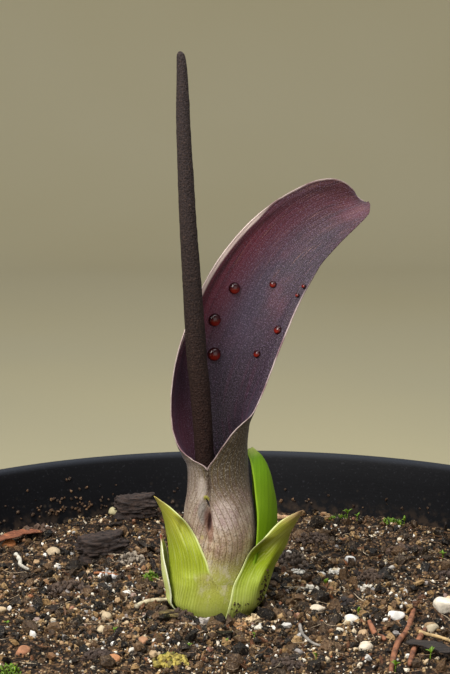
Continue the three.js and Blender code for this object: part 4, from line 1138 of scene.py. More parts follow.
def blade_points(t, u, inset):
    """Points of the spathe: a circle section of the row's radius, open towards the row's direction,
    carried along the rows' spine. u runs over the section from -1 at the left margin to 1 at the right
    one; inset moves a point in from the outer face."""
    s = row_at(SPATHE_ROWS, t)
    q = s[..., :3]
    ahead = row_at(SPATHE_ROWS, np.minimum(t + FRAME_STEP, len(SPATHE_ROWS) - 1))[..., :3]
    behind = row_at(SPATHE_ROWS, np.maximum(t - FRAME_STEP, 0))[..., :3]
    forward = unit(ahead - behind)
    n = s[..., 6:9]
    n = unit(n - forward * (n * forward).sum(-1, keepdims=True))
    b = np.cross(forward, n)
    left, right = np.radians(s[..., 4]), np.radians(s[..., 5])
    opening = np.cos((left + right) / 2)
    lift = (opening + np.sqrt(opening ** 2 + 0.02)) / 2
    theta = np.where(u < 0, u * left, u * right)
    d = np.degrees(theta) - SEAM_RIGHT
    d = -np.where(d < -180, d + 360, d)
    z = q[..., 2]
    closed = np.clip((40.6 - z) / 1.2, 0, 1)
    relief = np.where(z < 39.4, tube_relief(d, z), 0)
    r = s[..., 3]
    wave = 0.12 * noise(t * 1.9 + 4, np.sign(u) * 3.0, 33) + 0.05 * noise(t * 8.0, np.sign(u) * 5.0, 34)
    wave = wave * (1 - closed) * np.clip((np.abs(u) - 0.55) / 0.45, 0, 1) ** 2
    across = r + relief - inset + wave
    aside, inward = across * np.sin(theta), r * lift - across * np.cos(theta)
    points = q + b * aside[..., None] + n * inward[..., None]
    facts = {
        "across": theta * r,
        "margin": (1 - np.abs(u)) * np.where(u < 0, left, right) * r + 6 * np.clip((39.0 - z) / 0.6, 0, 1),
        "turn": u,
        "seam": d,
        "lift": z,
    }
    return points, facts


def spathe_surface():
    """Spathe tube and limb as one thick sheet, ringed up to the mouth and open above it; it thins out to
    its margins, and there is a tiny tooth on the left one."""
    t = np.concatenate([np.linspace(0, 2, 5)[:-1], np.linspace(2, 8, 93)[:-1], np.linspace(8, 12, 37)[:-1],
                        np.linspace(12, len(SPATHE_ROWS) - 1, 70)])
    v = np.linspace(-1, 1, 101)
    u = np.sign(v) * (1 - (1 - np.abs(v)) ** 1.45)
    t, u = np.meshgrid(t, u, indexing="ij")
    outer, facts = blade_points(t, u, 0)
    inner, _ = blade_points(t, u, thinned(row_at(SPATHE_ROWS, t)[..., 9], facts["margin"]))
    tooth = 0.8 * np.exp(-((outer[..., 2] - 57.4) / 0.6) ** 2) * np.clip((-u - 0.96) / 0.04, 0, 1)
    push = unit(outer[:, :1] - outer[:, 2:3]) * tooth[..., None]
    outer, inner = outer + push, inner + push
    steps = np.linalg.norm(np.diff(row_at(SPATHE_ROWS, t[:, 0])[:, :3], axis=0), axis=1)
    facts["length"] = np.repeat(np.concatenate([[0], np.cumsum(steps)])[:, None], u.shape[1], 1)
    open_from = int(np.argmin(np.abs(t[:, 0] - SPATHE_CLOSED_TO)))
    return thick_sheet(outer, inner, facts, open_from)


def soft(x):
    """0 below 0, 1 above 1, 3x^2 - 2x^3 between."""
    x = np.clip(x, 0, 1)
    return x * x * (3 - 2 * x)


def thinned(wall, margin):
    """Wall that thins out to a third over the last two millimetres before a margin."""
    return wall * (0.34 + 0.66 * soft(margin / 2.2))


def front_reach(z):
    """Radius and centre of the plant's front at a height: the tube, and low down the ring of sheath round
    its foot."""
    tube = row_at(SPATHE_ROWS, np.linspace(0, 8, 161))
    radius = np.interp(z, tube[:, 2], tube[:, 3])
    low = row_at(FRONT_RADII[:, None], (z + 13) / 2)[..., 0]
    return np.where(z < 12.5, low, radius), np.interp(z, tube[:, 2], tube[:, 0])


def pressed(points, weight, gap):
    """Lays points back onto the front of the plant, a gap off it: x and z stay, y goes to the front's
    circle there."""
    x, y, z = points[..., 0], points[..., 1], points[..., 2]
    r, centre = front_reach(z)
    beside = x - centre
    azimuth = np.degrees(np.arcsin(np.clip(beside / r, -0.98, 0.98)))
    r = r + tube_relief(azimuth + 19, z) + gap
    front = -np.sqrt(np.maximum(r * r - beside * beside, 0.05 * r * r))
    return np.stack([x, y + (front - y) * weight, z], -1)


def lid(degrees, z):
    """1 at the top edge of the left sheath's ring, which sinks into the tube there, 0 from 3.5 mm
    below."""
    top = np.interp(degrees, (-8, 3, 48, 100), (15.2, 9.8, 8.7, 7.0))
    return soft(1 - (top - z) / 3.5) * soft((degrees + 4) / 8)


def ring_weight(degrees, z):
    """1 on the front of the left sheath's ring, where it clings to the tube's foot, 0 away from it."""
    return soft((degrees + 42) / 40) * soft((70 - degrees) / 24) * soft((z + 4) / 3) * soft((13.5 - z) / 4)


def sheath_grid(name, t, s, inset, swell=0.0):
    """Points of a sheath leaf: level arcs of the row's radius round the row's centre, from one azimuth to
    the other. Where the two front sheaths near the plant's front they are laid onto it."""
    z, cx, cy, r, low, high, _ = np.moveaxis(row_at(SHEATHS[name], t), -1, 0)
    degrees = low + (high - low) * s
    azimuth = np.radians(degrees)
    reach = r - inset + swell
    points = np.stack([cx + reach * np.sin(azimuth), cy - reach * np.cos(azimuth), z], -1)
    arc = np.radians(high - low) * r
    if name == "cataphyll_left":
        margin = soft(1 - (1 - s) * arc / (5 + 5 * soft((19 - z) / 8)))
        margin = margin * soft((z - 4) / 4) * soft((27 - z) / 7)
        weight = np.maximum(ring_weight(degrees, z), margin)
        gap = 0.14 + 0.3 * soft((z - 10) / 7)
        points = pressed(points, weight, gap - np.minimum(inset, gap - 0.04) - 0.24 * lid(degrees, z))
    if name == "cataphyll_right":
        weight = soft(1 - s * arc / 9) * soft((z + 4) / 3) * soft((22 - z) / 8)
        points = pressed(points, weight, 0.85 - np.minimum(inset, 0.45))
    return points, azimuth * r


def sheath_surface(name, columns, rows):
    """Sheath leaf as a thick sheet that thins out to rounded margins, with low waves and fine lengthwise
    ribs."""
    last = len(SHEATHS[name]) - 1
    t = np.concatenate([[0, 0.5], np.linspace(1, last, rows)])
    t, s = np.meshgrid(t, np.linspace(0, 1, columns), indexing="ij")
    z, _, _, r, low, high, wall = np.moveaxis(row_at(SHEATHS[name], t), -1, 0)
    arc = np.radians(high - low) * r
    above = np.clip((z - 3) / 6, 0, 1)
    degrees = low + (high - low) * s
    waves = 0.1 * noise(degrees / 33 + 3, z / 4.5, 41)
    swell = above * (waves + 0.018 * np.cos(np.radians(degrees) * r * 2 * math.pi / 2.3))
    margin = np.minimum(s, 1 - s) * arc
    outer, across = sheath_grid(name, t, s, 0, swell)
    inner, _ = sheath_grid(name, t, s, thinned(wall, margin), swell)
    ring = ring_weight(degrees, z) * (name == "cataphyll_left")
    return thick_sheet(outer, inner, {"across": across, "length": z, "margin": margin, "ring": ring})


def spadix_surface():
    """Spadix: circles along the rows' spine. The flower zones carry rows of beads, and the appendix a
    fine grain."""
    t = np.concatenate([np.linspace(0, 11, 90)[:-1], np.linspace(11, len(SPADIX_ROWS) - 1, 240)])
    angle = np.linspace(0, 2 * math.pi, 49)
    angle[-1] = 0
    t, a = np.meshgrid(t, angle, indexing="ij")
    rows = row_at(SPADIX_ROWS, t)
    z, r, bump = rows[..., 2], np.maximum(rows[..., 3], 0), rows[..., 4]
    beads = bump * np.cos(11 * a + z * 2.4) * np.cos(11 * a - z * 2.4) * r
    around = a / (2 * math.pi)
    grain = 0.0
    for repeat, amount, tall in ((22, 0.05, 0.7), (11, 0.05, 1.6), (5, 0.04, 4.0)):
        low = noise(around * repeat, z / tall, 51 + repeat)
        far = noise(around * repeat - repeat, z / tall, 51 + repeat)
        grain = grain + amount * (low * (1 - around) + far * around)
    grain = grain * np.clip((z - 19) / 4, 0, 1)
    r = np.where(rows[..., 3] < 0.02, 0, r + beads + grain)
    r[0], r[-1] = 0, 0
    return grid_surface(np.stack([rows[..., 0] + r * np.cos(a), rows[..., 1] + r * np.sin(a), z], -1))


def pot_surface():
    """Pot: a turned wall with a rolled rim, a turned middle of the floor, and six floor sectors, each a
    blend from a drain hole's circle to the sector's edge. within is 1 on the inside of the wall."""
    w, rim = wall_inner, POT_RIM_R
    top, under = FLOOR_TOP, FLOOR_UNDERSIDE
    sector_from, sector_to = 24, 62
    outside = [(sector_to, under), (73, under), (74.0, 1.4), (74.7, 0.5), (75.3, 0), (86.6, 0), (87.5, 0.4),
               (88, 1.3)]
    outside += [(w(z) + POT_WALL, z) for z in np.linspace(6, 107.6, 12)]
    lip = [(w(109) + 2.1, 109), (w(111) + 2.8, 110.2), (w(111) + 3.3, 111.2), (rim - 0.6, 113.4),
           (rim - 0.1, 114.3), (rim, 115.2), (rim, 118.0), (rim - 0.3, 119.1), (rim - 0.9, 119.7),
           (rim - 1.8, 120), (rim - 2.6, 119.8), (rim - 3.1, 119.2), (w(117.5), 117.3)]
    inside = [(w(z), z) for z in np.linspace(112, 6, 12)]
    inside += [(w(4.6) - 0.4, 4.3), (w(top) - 1.4, top), (73, top), (sector_to, top)]
    parts = [turned(profile, 192) for profile in (outside + lip + inside,
                                                  [(sector_from, under), (12, under), (0, under)],
                                                  [(0, top), (12, top), (sector_from, top)])]
    half = 180 / DRAIN_HOLES
    arc = np.linspace(-half, half, 33)
    spoke = np.linspace(sector_to, sector_from, 9)
    round_edge = np.concatenate([arc[:-1], np.full(8, half), arc[::-1][:-1], np.full(8, -half), arc[:1]])
    reach = np.concatenate([np.full(32, sector_to), spoke[:-1], np.full(32, sector_from), spoke[::-1][:-1],
                            [sector_to]])
    blend = np.array([0, 0.04, 0.2, 0.45, 0.72, 1])[:, None, None]
    for k in range(DRAIN_HOLES):
        middle = 2 * half * k
        angle = np.radians(middle + round_edge)
        edge = np.stack([reach * np.cos(angle), reach * np.sin(angle)], -1)
        centre = DRAIN_RING_R * np.array([math.cos(math.radians(middle)), math.sin(math.radians(middle))])
        hole = centre + DRAIN_HOLE_R * unit(edge - centre)
        flat = hole * (1 - blend) + edge * blend
        upper, lower = (np.concatenate([flat, np.full((*flat.shape[:2], 1), z)], -1) for z in (top, under))
        parts.append(grid_surface(np.concatenate([upper[::-1], lower])))
    points, faces, _ = weld(*collect(parts))
    within = np.hypot(points[:, 0], points[:, 1]) < wall_inner(points[:, 2]) + 1.0
    return points, faces, {"within": within.astype(float)}


def soil_surface():
    """Soil bed: rings round the plant that become rings round the pot, lifted by the soil's height; a
    skirt goes down the wall, and the hole and the tuber's cavity go down in the middle."""
    azimuth = np.linspace(-180, 180, 253)
    turn = np.radians(azimuth)
    sx, sy = np.sin(turn), -np.cos(turn)
    sx[-1], sy[-1] = sx[0], sy[0]
    reach = hole_reach(azimuth)
    reach[-1] = reach[0]
    level = np.full(len(azimuth), SOIL_Z)
    cavity = ((0, -35.2), (8.3, -34.75), (14.4, -31.4), (17.75, -26.1), (17.95, -21.4), (15.8, -16.5),
              (12.3, -13.75), (9.75, -12.9))
    rings = [np.stack([FOOT_X + r * sx, FOOT_Y + r * sy, level + z], -1) for r, z in cavity]
    for r, z, follow in ((7.25, -12.4, 0), (8.9, -3, 0.3), (10.0, -0.8, 0.8), (10.7, 0.5, 1)):
        x, y = FOOT_X + (r + reach) * sx, FOOT_Y + (r + reach) * sy
        rings.append(np.stack([x, y, level + z + follow * soil_top(x, y)], -1))
    for value in np.concatenate([np.linspace(11.3, 30, 32), np.linspace(31, 110.6, 88)]):
        f = min(1, max(0, (value - 20) / 60))
        r = value + reach * max(0, (24 - value) / 15)
        x, y = FOOT_X * (1 - f) + r * sx, FOOT_Y * (1 - f) + r * sy
        rings.append(np.stack([x, y, ground_at(x, y)], -1))
    w = wall_inner
    for r, z in ((111.2, SOIL_Z + 0.4), (w(SOIL_Z - 1) - 0.5, SOIL_Z - 1), (w(50) - 0.6, 50),
                 (w(6) - 0.95, 6), (w(6) - 3.2, 3.75), (0, 3.75)):
        rings.append(np.stack([r * sx, r * sy, np.full(len(azimuth), z)], -1))
    return grid_surface(np.stack(rings))


def kept_clear():
    """Circles that loose crumbs keep out of, as x, y and radius: the stones, and discs along the fallen
    needles."""
    circles = [(x, row_y(y), 0.8 * max(sx, sy)) for x, y, sx, sy, _, _ in STONES.values()]
    circles += [(x, row_y(y), 0.75 * size) for x, y, size, _ in PEBBLES]
    for places, radius in STALKS.values():
        circles += [(x, y, radius) for x, y, _ in ground_path(places, 40, 0)]
    return np.array(circles)


def free_ground(rng, count, margin, near=0.0):
    """Random places on the soil clear of the plant's foot, the stones, the fallen needles and the wall;
    near is the share of them that gathers round the plant."""
    total = count * 3
    azimuth = rng.uniform(-180, 180, total)
    r = 111.0 * np.sqrt(rng.uniform(0, 1, total))
    close = rng.uniform(size=total) < near
    r = np.where(close, 10 + 46 * rng.uniform(0, 1, total) ** 0.8, r)
    x = r * np.sin(np.radians(azimuth)) + np.where(close, FOOT_X, 0)
    y = -r * np.cos(np.radians(azimuth)) + np.where(close, FOOT_Y, 0)
    px, py = x - FOOT_X, y - FOOT_Y
    at = np.degrees(np.arctan2(px, -py))
    clear = (np.hypot(px, py) > 10.6 + hole_reach(at) + margin) & (np.hypot(x, y) < 110.8 - margin)
    circles = kept_clear()
    away = np.hypot(x[:, None] - circles[:, 0], y[:, None] - circles[:, 1]) - circles[:, 2]
    clear = clear & (away.min(1) > margin * 0.4)
    return x[clear][:count], y[clear][:count]


def crumb_surface(rng, count, size, spread, stretch, sink, near, rough=0.3, flat=0.0, ball=twenty_faces):
    """Crumbs strewn over the soil: sizes spread as the exponential of a random number, each sunk or
    stacked a little."""
    x, y = free_ground(rng, count, size * 1.2, near)
    count = len(x)
    scale = size * np.exp(spread * rng.normal(size=count).clip(-1.9, 2.1))
    sizes = scale[:, None] * rng.uniform(stretch[0], stretch[1], (count, 3))
    z = ground_at(x, y) + scale * rng.uniform(sink[0], sink[1], count)
    return crumbs(np.stack([x, y, z], -1), sizes, rng.uniform(0, 1, count), rng, rough, flat, ball)


def rounded_stone(rng, sx, sy, sz, planes=13, rows=18, columns=28):
    """Crushed stone: a ball cut by random planes, its radius in each direction the soft minimum over the
    planes, stretched to the half sizes and turned by chance."""
    way = ball_directions(rows, columns)
    normals = unit(rng.normal(size=(planes, 3)))
    depth = rng.uniform(0.66, 0.9, planes)
    lean = np.maximum(np.einsum("ijk,pk->ijp", way, normals), 0.001) / depth
    r = ((lean ** 14).sum(-1) + 1.0) ** (-1 / 14)
    points = way * r[..., None]
    points = points / np.abs(points).reshape(-1, 3).max(0) * (sx, sy, sz)
    return grid_surface(turned_level(points, rng.uniform(0, 6.28)))


def lump(sx, sy, sz, turn):
    """Bark lump: a blunt block with layered, splintered sides; the radius steps with height and frays by
    noise."""
    way = ball_directions(60, 97)
    block = (np.abs(way) ** 4).sum(-1) ** -0.25
    fray = 0.1 * noise(way[..., 0] * 3 + 9, way[..., 2] * 9 + way[..., 1] * 2, 61)
    fray = fray + 0.08 * noise(way[..., 0] * 7, way[..., 1] * 7 + way[..., 2] * 14, 62)
    fray = fray + 0.05 * np.sign(np.sin(way[..., 2] * 11 + 2 * noise(way[..., 0] * 2, way[..., 1] * 2, 63)))
    points = way * (block * (0.86 + fray))[..., None] * (sx, sy, sz)
    return grid_surface(turned_level(points, turn))


def ground_path(places, rings, lift):
    """Points along a smooth line through places on the soil, lifted over its height, which is smoothed by
    a running mean."""
    flat = row_at(places, np.linspace(0, len(places) - 1, rings)) + (0, FOOT_Y)
    height = bed_height(flat[:, 0], flat[:, 1])
    height = np.convolve(np.pad(height, 9, mode="edge"), np.ones(19) / 19, "valid")
    return np.concatenate([flat, (SOIL_Z + height + lift)[:, None]], 1)


# operators

class BIARUM_OT_stage(bpy.types.Operator):
    """Floor, camera and soft lights"""
    bl_idname = "biarum.stage"
    bl_label = "Stage"

    def execute(self, context):
        scene = context.scene
        turn = np.linspace(0, math.pi / 2, 24)
        bend = np.stack([1.5 + 0.7 * np.sin(turn), 0.7 - 0.7 * np.cos(turn)], -1)
        back = np.concatenate([[[-1.6, 0]], bend, [[2.2, 2.6]]])
        across = np.array([-3.0, 3.0])
        points, faces, _ = grid_surface(np.stack([np.repeat(across[None], len(back), 0),
                                                  np.repeat(back[:, :1], 2, 1),
                                                  np.repeat(back[:, 1:], 2, 1)], -1))
        mesh = bpy.data.meshes.new("floor")
        mesh.from_pydata(points.tolist(), [], faces[:, ::-1].tolist())
        mesh.polygons.foreach_set("use_smooth", np.full(len(mesh.polygons), True))
        mesh.materials.append(stage_finish())
        floor = bpy.data.objects.new("floor", mesh)
        scene.collection.objects.link(floor)
        lens = bpy.data.cameras.new("photo_camera")
        lens.sensor_width = SENSOR_MM
        lens.lens = LENS_MM
        lens.clip_start = 0.02
        camera = bpy.data.objects.new("photo_camera", lens)
        camera.location = (CAMERA_X, PLANT_Y - CAMERA_BACK, SOIL_LEVEL + CAMERA_RISE)
        camera.rotation_euler = (math.radians(90 - CAMERA_DIP), 0, 0)
        scene.collection.objects.link(camera)
        scene.camera = camera
        target = Vector((PLANT_X, PLANT_Y, SOIL_LEVEL + 0.04))
        for name, place, size, power, colour in (
            ("key_soft", (-0.5, -0.62, 0.92), 0.75, 19.0, (1.0, 0.985, 0.96)),
            ("top_soft", (0.1, 0.15, 1.0), 0.8, 7.0, (0.95, 0.98, 1.0)),
            ("front_fill", (0.5, -0.9, 0.3), 0.9, 2.6, (1.0, 0.98, 0.94)),
        ):
            lamp = bpy.data.lights.new(name, "AREA")
            lamp.size = size
            lamp.energy = power
            lamp.color = colour
            light = bpy.data.objects.new(name, lamp)
            light.location = place
            light.rotation_euler = (target - Vector(place)).to_track_quat("-Z", "Y").to_euler()
            scene.collection.objects.link(light)
        world = bpy.data.worlds.new("studio")
        world.use_nodes = True
        sky = world.node_tree.nodes["Background"]
        sky.inputs["Color"].default_value = (0.92, 0.94, 1.0, 1)
        sky.inputs["Strength"].default_value = 0.34
        scene.world = world
        scene.view_settings.view_transform = "Standard"
        return {"FINISHED"}


class BIARUM_OT_pot(bpy.types.Operator):
    """Plastic pot with a rolled rim and six drain holes"""
    bl_idname = "biarum.pot"
    bl_label = "Pot"

    def execute(self, context):
        make_piece("pot_shell", pot_surface(), pot_finish(colours_of(context)), ("pot",), "pot")
        return {"FINISHED"}


class BIARUM_OT_soil(bpy.types.Operator):
    """Bed of potting mix with the hole that the plant stands in"""
    bl_idname = "biarum.soil"
    bl_label = "Soil bed"

    def execute(self, context):
        make_piece("soil_bed", soil_surface(), soil_finish(), ("soil",), "soil")
        return {"FINISHED"}


class BIARUM_OT_crumbs(bpy.types.Operator):
    """Loose crumbs, grit, bark chips, clods and root fibres over the soil"""
    bl_idname = "biarum.crumbs"
    bl_label = "Crumbs"

    def execute(self, context):
        sizes, colours = sizes_of(context), colours_of(context)
        rng = np.random.default_rng(CRUMB_SEED)
        size = sizes.crumb_size * 1000
        black, peat, brown, tan = srgb(10, 7, 5), colours.peat, colours.crumb, srgb(178, 146, 102)
        # name, what crumb_surface takes, material
        strewn = (
            ("crumbs_dark", (sizes.dark_crumbs, size * 1.05, 0.55, (0.55, 1.3), (-0.3, 0.9), 0.4, 0.4),
             crumb_finish("dark_crumb", [(0.0, black), (0.5, peat), (1.0, srgb(104, 78, 52))], 0.62)),
            ("crumbs_brown", (sizes.brown_crumbs, size * 0.85, 0.45, (0.5, 1.3), (-0.3, 0.9), 0.4, 0.4),
             crumb_finish("brown_crumb", [
                 (0.0, peat), (0.45, brown), (0.7, srgb(138, 106, 64)), (1.0, tan)], 0.75)),
            ("crumbs_fine", (sizes.fine_crumbs, size * 0.52, 0.3, (0.6, 1.3), (0.0, 1.6), 0.42, 0.25, 0.0,
                             eight_faces),
             crumb_finish("fine_crumb", [(0.0, black), (0.45, peat), (0.75, brown), (1.0, tan)], 0.6)),
            ("grit_fine", (sizes.fine_grit, size * 0.42, 0.35, (0.6, 1.3), (0.3, 2.2), 0.42, 0.25, 0.0,
                           eight_faces),
             crumb_finish("fine_grain", [
                 (0.0, srgb(106, 80, 50)), (0.4, srgb(166, 134, 92)), (0.66, srgb(218, 198, 162)),
                 (1.0, srgb(250, 246, 234))], 0.6)),
        )
        for name, facts, finish in strewn:
            make_piece(name, crumb_surface(rng, *facts), finish, slot="soil", whole=False, smooth=False)
        grit = crumb_surface(rng, sizes.pale_grit, size * 0.68, 0.5, (0.6, 1.15), (0.0, 1.0), 0.4, 0.28)
        make_piece("grit_pale", grit, grit_finish(), slot="stones", whole=False, smooth=False)
        chips = crumb_surface(rng, sizes.chips, size * 1.3, 0.4, ((0.9, 0.45, 0.22), (1.9, 0.75, 0.4)),
                              (-0.1, 0.6), 0.4, 0.3, 0.5)
        chip = crumb_finish("chip_bark", [
            (0.0, black), (0.5, srgb(52, 34, 23)), (1.0, srgb(118, 74, 44))], 0.66)
        make_piece("bark_chips", chips, chip, slot="bark", whole=False, smooth=False)
        clods = self.clod_surface(rng)
        make_piece("clods", clods, self.clod_finish(), slot="soil", whole=False, smooth=False)
        fibre = crumb_finish("root_fibre", [
            (0.0, srgb(44, 30, 20)), (0.6, srgb(120, 84, 54)), (1.0, srgb(206, 186, 156))], 0.6, 0.1)
        make_piece("root_fibres", self.fibre_surface(rng, sizes.fibres), fibre, slot="twigs", whole=False)
        return {"FINISHED"}

    def clod_surface(self, rng):
        """Clods: crumbs packed at random places in a half ball, squashed to the clod's own sizes."""
        parts = []
        for x, y, radius, tall, count, colour in CLODS:
            y = row_y(y)
            spot = unit(rng.normal(size=(count, 3))) * rng.uniform(0.1, 1, (count, 1)) ** 0.4
            spot[:, 2] = np.abs(spot[:, 2])
            spot = spot * (radius, radius * 0.8, tall) + (x, y, ground_at(x, y) - 0.6)
            scale = rng.uniform(0.35, 0.95, (count, 1)) * rng.uniform(0.6, 1.2, (count, 3))
            points, faces, facts = crumbs(spot, scale, rng.uniform(0, 1, count), rng, 0.34)
            facts.update(zip(("red", "green", "blue"), srgb(*colour)))
            parts.append((points, faces, facts))
        return collect(parts)

    def fibre_surface(self, rng, count):
        """Root fibres: short arcs in the level, each lifted off the bed in a shallow curve."""
        x, y = free_ground(rng, count, 1.5, 0.35)
        count = len(x)
        heading = rng.uniform(0, 2 * math.pi, count)
        length = rng.uniform(2.0, 8.0, count)
        s = np.linspace(-0.5, 0.5, 6)
        bend = rng.uniform(-0.9, 0.9, count)
        way = heading[:, None] + bend[:, None] * s
        fx = x[:, None] + length[:, None] * s * np.cos(way)
        fy = y[:, None] + length[:, None] * s * np.sin(way)
        lift = 0.5 + rng.uniform(0, 0.9, (count, 1)) + rng.uniform(-0.8, 1.4, (count, 1)) * s ** 2 * 2
        fz = ground_at(x, y)[:, None] + lift
        inside = np.hypot(fx, fy).max(1) < 110
        inside = inside & (np.hypot(fx - FOOT_X, fy - FOOT_Y).min(1) > 15)
        paths = np.stack([fx, fy, fz], -1)[inside]
        radii = rng.uniform(0.08, 0.2, (len(paths), 1)) * (1 - 0.6 * np.abs(s) * 2)
        return tubes(paths, radii, 3, {"tint": rng.uniform(0, 1, len(paths))})

    def clod_finish(self):
        """Stuck crumbs: each clod has its own colour, kept on the mesh, and each crumb its own shade."""
        p = Paint("clod_soil")
        grain = p.noise(p.place(), 1.5, 4, 0.7)
        parts = {0: p.fact("red"), 1: p.fact("green"), 2: p.fact("blue")}
        own = p.value("ShaderNodeCombineColor", None, parts)
        base = p.layered(own, (
            (p.fact("tint").step(0.55, 0.0) * 0.7, (44, 32, 25)),
            (grain.step(0.5, 0.36) * 0.55, (36, 27, 21)),
            (grain.step(0.62, 0.78) * 0.35, (226, 216, 200)),
        ))
        return p.finish(base, 0.8, p.bump(grain, 0.3, 0.8))


class BIARUM_OT_stones(bpy.types.Operator):
    """Crushed stones that lie free on the soil"""
    bl_idname = "biarum.stones"
    bl_label = "Stones"

    def execute(self, context):
        rng = np.random.default_rng(STONE_SEED)
        for name, (_, _, sx, sy, sz, colour) in STONES.items():
            low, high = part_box(name)
            centre = (low + high) * 500
            surface = moved(rounded_stone(rng, sx, sy, sz), *centre)
            make_piece(name + "_cut", surface, stone_finish(name + "_chalk", colour), (name,), "stones")
        for k, (x, y, size, colour) in enumerate(PEBBLES):
            y = row_y(y)
            sy, sz = size * rng.uniform(0.7, 0.95), size * rng.uniform(0.6, 0.85)
            surface = moved(rounded_stone(rng, size, sy, sz, 12, 13, 19), x, y, ground_at(x, y) + size * 0.3)
            finish = stone_finish("pebble_%d_chalk" % (k + 1), colour)
            make_piece("pebble_%d" % (k + 1), surface, finish, (), "stones")
        return {"FINISHED"}


class BIARUM_OT_bark(bpy.types.Operator):
    """Two bark lumps, a crusted flake, a leaf fragment and a dark leaf flake"""
    bl_idname = "biarum.bark"
    bl_label = "Bark"

    def execute(self, context):
        finish = bark_finish("bark_dark", srgb(30, 21, 18), srgb(76, 58, 48))
        for name, (sx, sy, sz, turn) in BARK.items():
            low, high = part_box(name)
            centre = (low + high) * 500
            shape = moved(lump(sx, sy, sz * 1.3, turn), centre.x, centre.y, centre.z + sz * 0.2)
            make_piece(name + "_split", shape, finish, (name,), "bark")
        low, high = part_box("bark_3")
        centre = (low + high) * 500
        crust = bark_finish("bark_crust", srgb(66, 52, 30), srgb(150, 130, 74))
        self.flake("bark_3_crust", tuple(centre), 5.9, 2.6, 0.75, 32, 0.5, crust, ("bark_3",), "bark")
        orange = bark_finish("leaf_fragment_dry", srgb(104, 56, 34), srgb(154, 92, 56))
        place = self.spot(-67.0, 58.0, 1.3)
        self.flake("leaf_fragment", place, 9.0, 2.8, 0.35, 44, 1.1, orange, (), "twigs")
        dark = bark_finish("leaf_flake_dark", srgb(28, 22, 18), srgb(62, 50, 42))
        place = self.spot(46.6, -43.6, 1.1)
        self.flake("leaf_flake", place, 6.6, 2.9, 0.35, -42, 0.7, dark, (), "bark")
        return {"FINISHED"}

    def spot(self, x, y, above):
        """A place at that height over the soil bed; y is given from the plant's own line."""
        y = row_y(y)
        return x, y, ground_at(x, y) + above

    def flake(self, name, place, half, wide, thick, turn, arch, finish, nodes, slot):
        """Flat flake: a leaf outline with a frayed edge, arched along its length and crumpled by noise,
        then turned in the level."""
        v, w = np.meshgrid(np.linspace(-1, 1, 46), np.linspace(-1, 1, 19), indexing="ij")
        fray = 0.8 + 0.25 * noise(v * 4 + half, np.sign(w) * 2.0, 71)
        edge = (1 - np.abs(v) ** 3.2) ** 0.6 * fray + 0.04
        x, y = v * half, w * wide * edge
        z = arch * (1 - v * v) + 0.3 * noise(x / 1.6, y / 1.6 + half, 72) + 0.35 * w * w * arch
        top = np.stack([x, y, z + thick / 2], -1)
        bottom = np.stack([x, y, z - thick / 2], -1)
        points, faces, facts = thick_sheet(top, bottom, {"across": y})
        surface = moved((turned_level(points, math.radians(turn)), faces, facts), *place)
        make_piece(name, surface, finish, nodes, slot)


class BIARUM_OT_stalks(bpy.types.Operator):
    """Fallen needles, roots and sticks"""
    bl_idname = "biarum.stalks"
    bl_label = "Stalks"

    def execute(self, context):
        finish = stalk_finish("needle_dry", srgb(86, 50, 32), srgb(146, 94, 64))
        for name, (places, radius) in STALKS.items():
            path = ground_path(places, 40, 0.8)
            taper = radius * (1 - 0.35 * np.linspace(-1, 1, 40) ** 4)
            taper = taper * (1 + 0.04 * noise(np.arange(40) / 3.0, np.zeros(40), 81))
            surface = tubes(path[None], taper[None], 12, {})
            make_piece(name + "_needle", surface, finish, (name,), "twigs")
        for k, (places, radius, colour) in enumerate(ROOTLETS):
            path = ground_path(places, 34, 0.9 + radius * 0.6)
            taper = radius * (1 - 0.5 * np.linspace(0, 1, 34) ** 2)
            taper = taper * (1 + 0.14 * noise(np.arange(34) / 2.0, np.full(34, k), 82))
            light = srgb(*colour)
            finish = stalk_finish("rootlet_%d_skin" % (k + 1), tuple(0.5 * v for v in light), light)
            make_piece("rootlet_%d" % (k + 1), tubes(path[None], taper[None], 10, {}), finish, (), "twigs")
        return {"FINISHED"}


class BIARUM_OT_tuber(bpy.types.Operator):
    """Corky skin for the buried tuber"""
    bl_idname = "biarum.tuber"
    bl_label = "Tuber"

    def execute(self, context):
        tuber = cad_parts["tuber"]
        tuber.data.materials.clear()
        tuber.data.materials.append(tuber_finish())
        return {"FINISHED"}


class BIARUM_OT_spathe(bpy.types.Operator):
    """Spathe tube and limb"""
    bl_idname = "biarum.spathe"
    bl_label = "Spathe"

    def execute(self, context):
        finish = spathe_finish(colours_of(context), sizes_of(context))
        make_piece("spathe_blade", planted(spathe_surface()), finish, ("spathe",), "spathe")
        return {"FINISHED"}


class BIARUM_OT_spadix(bpy.types.Operator):
    """Spadix with its flowers and long appendix"""
    bl_idname = "biarum.spadix"
    bl_label = "Spadix"

    def execute(self, context):
        finish = spadix_finish(colours_of(context))
        make_piece("spadix_body", planted(spadix_surface()), finish, ("spadix",), "spadix")
        return {"FINISHED"}


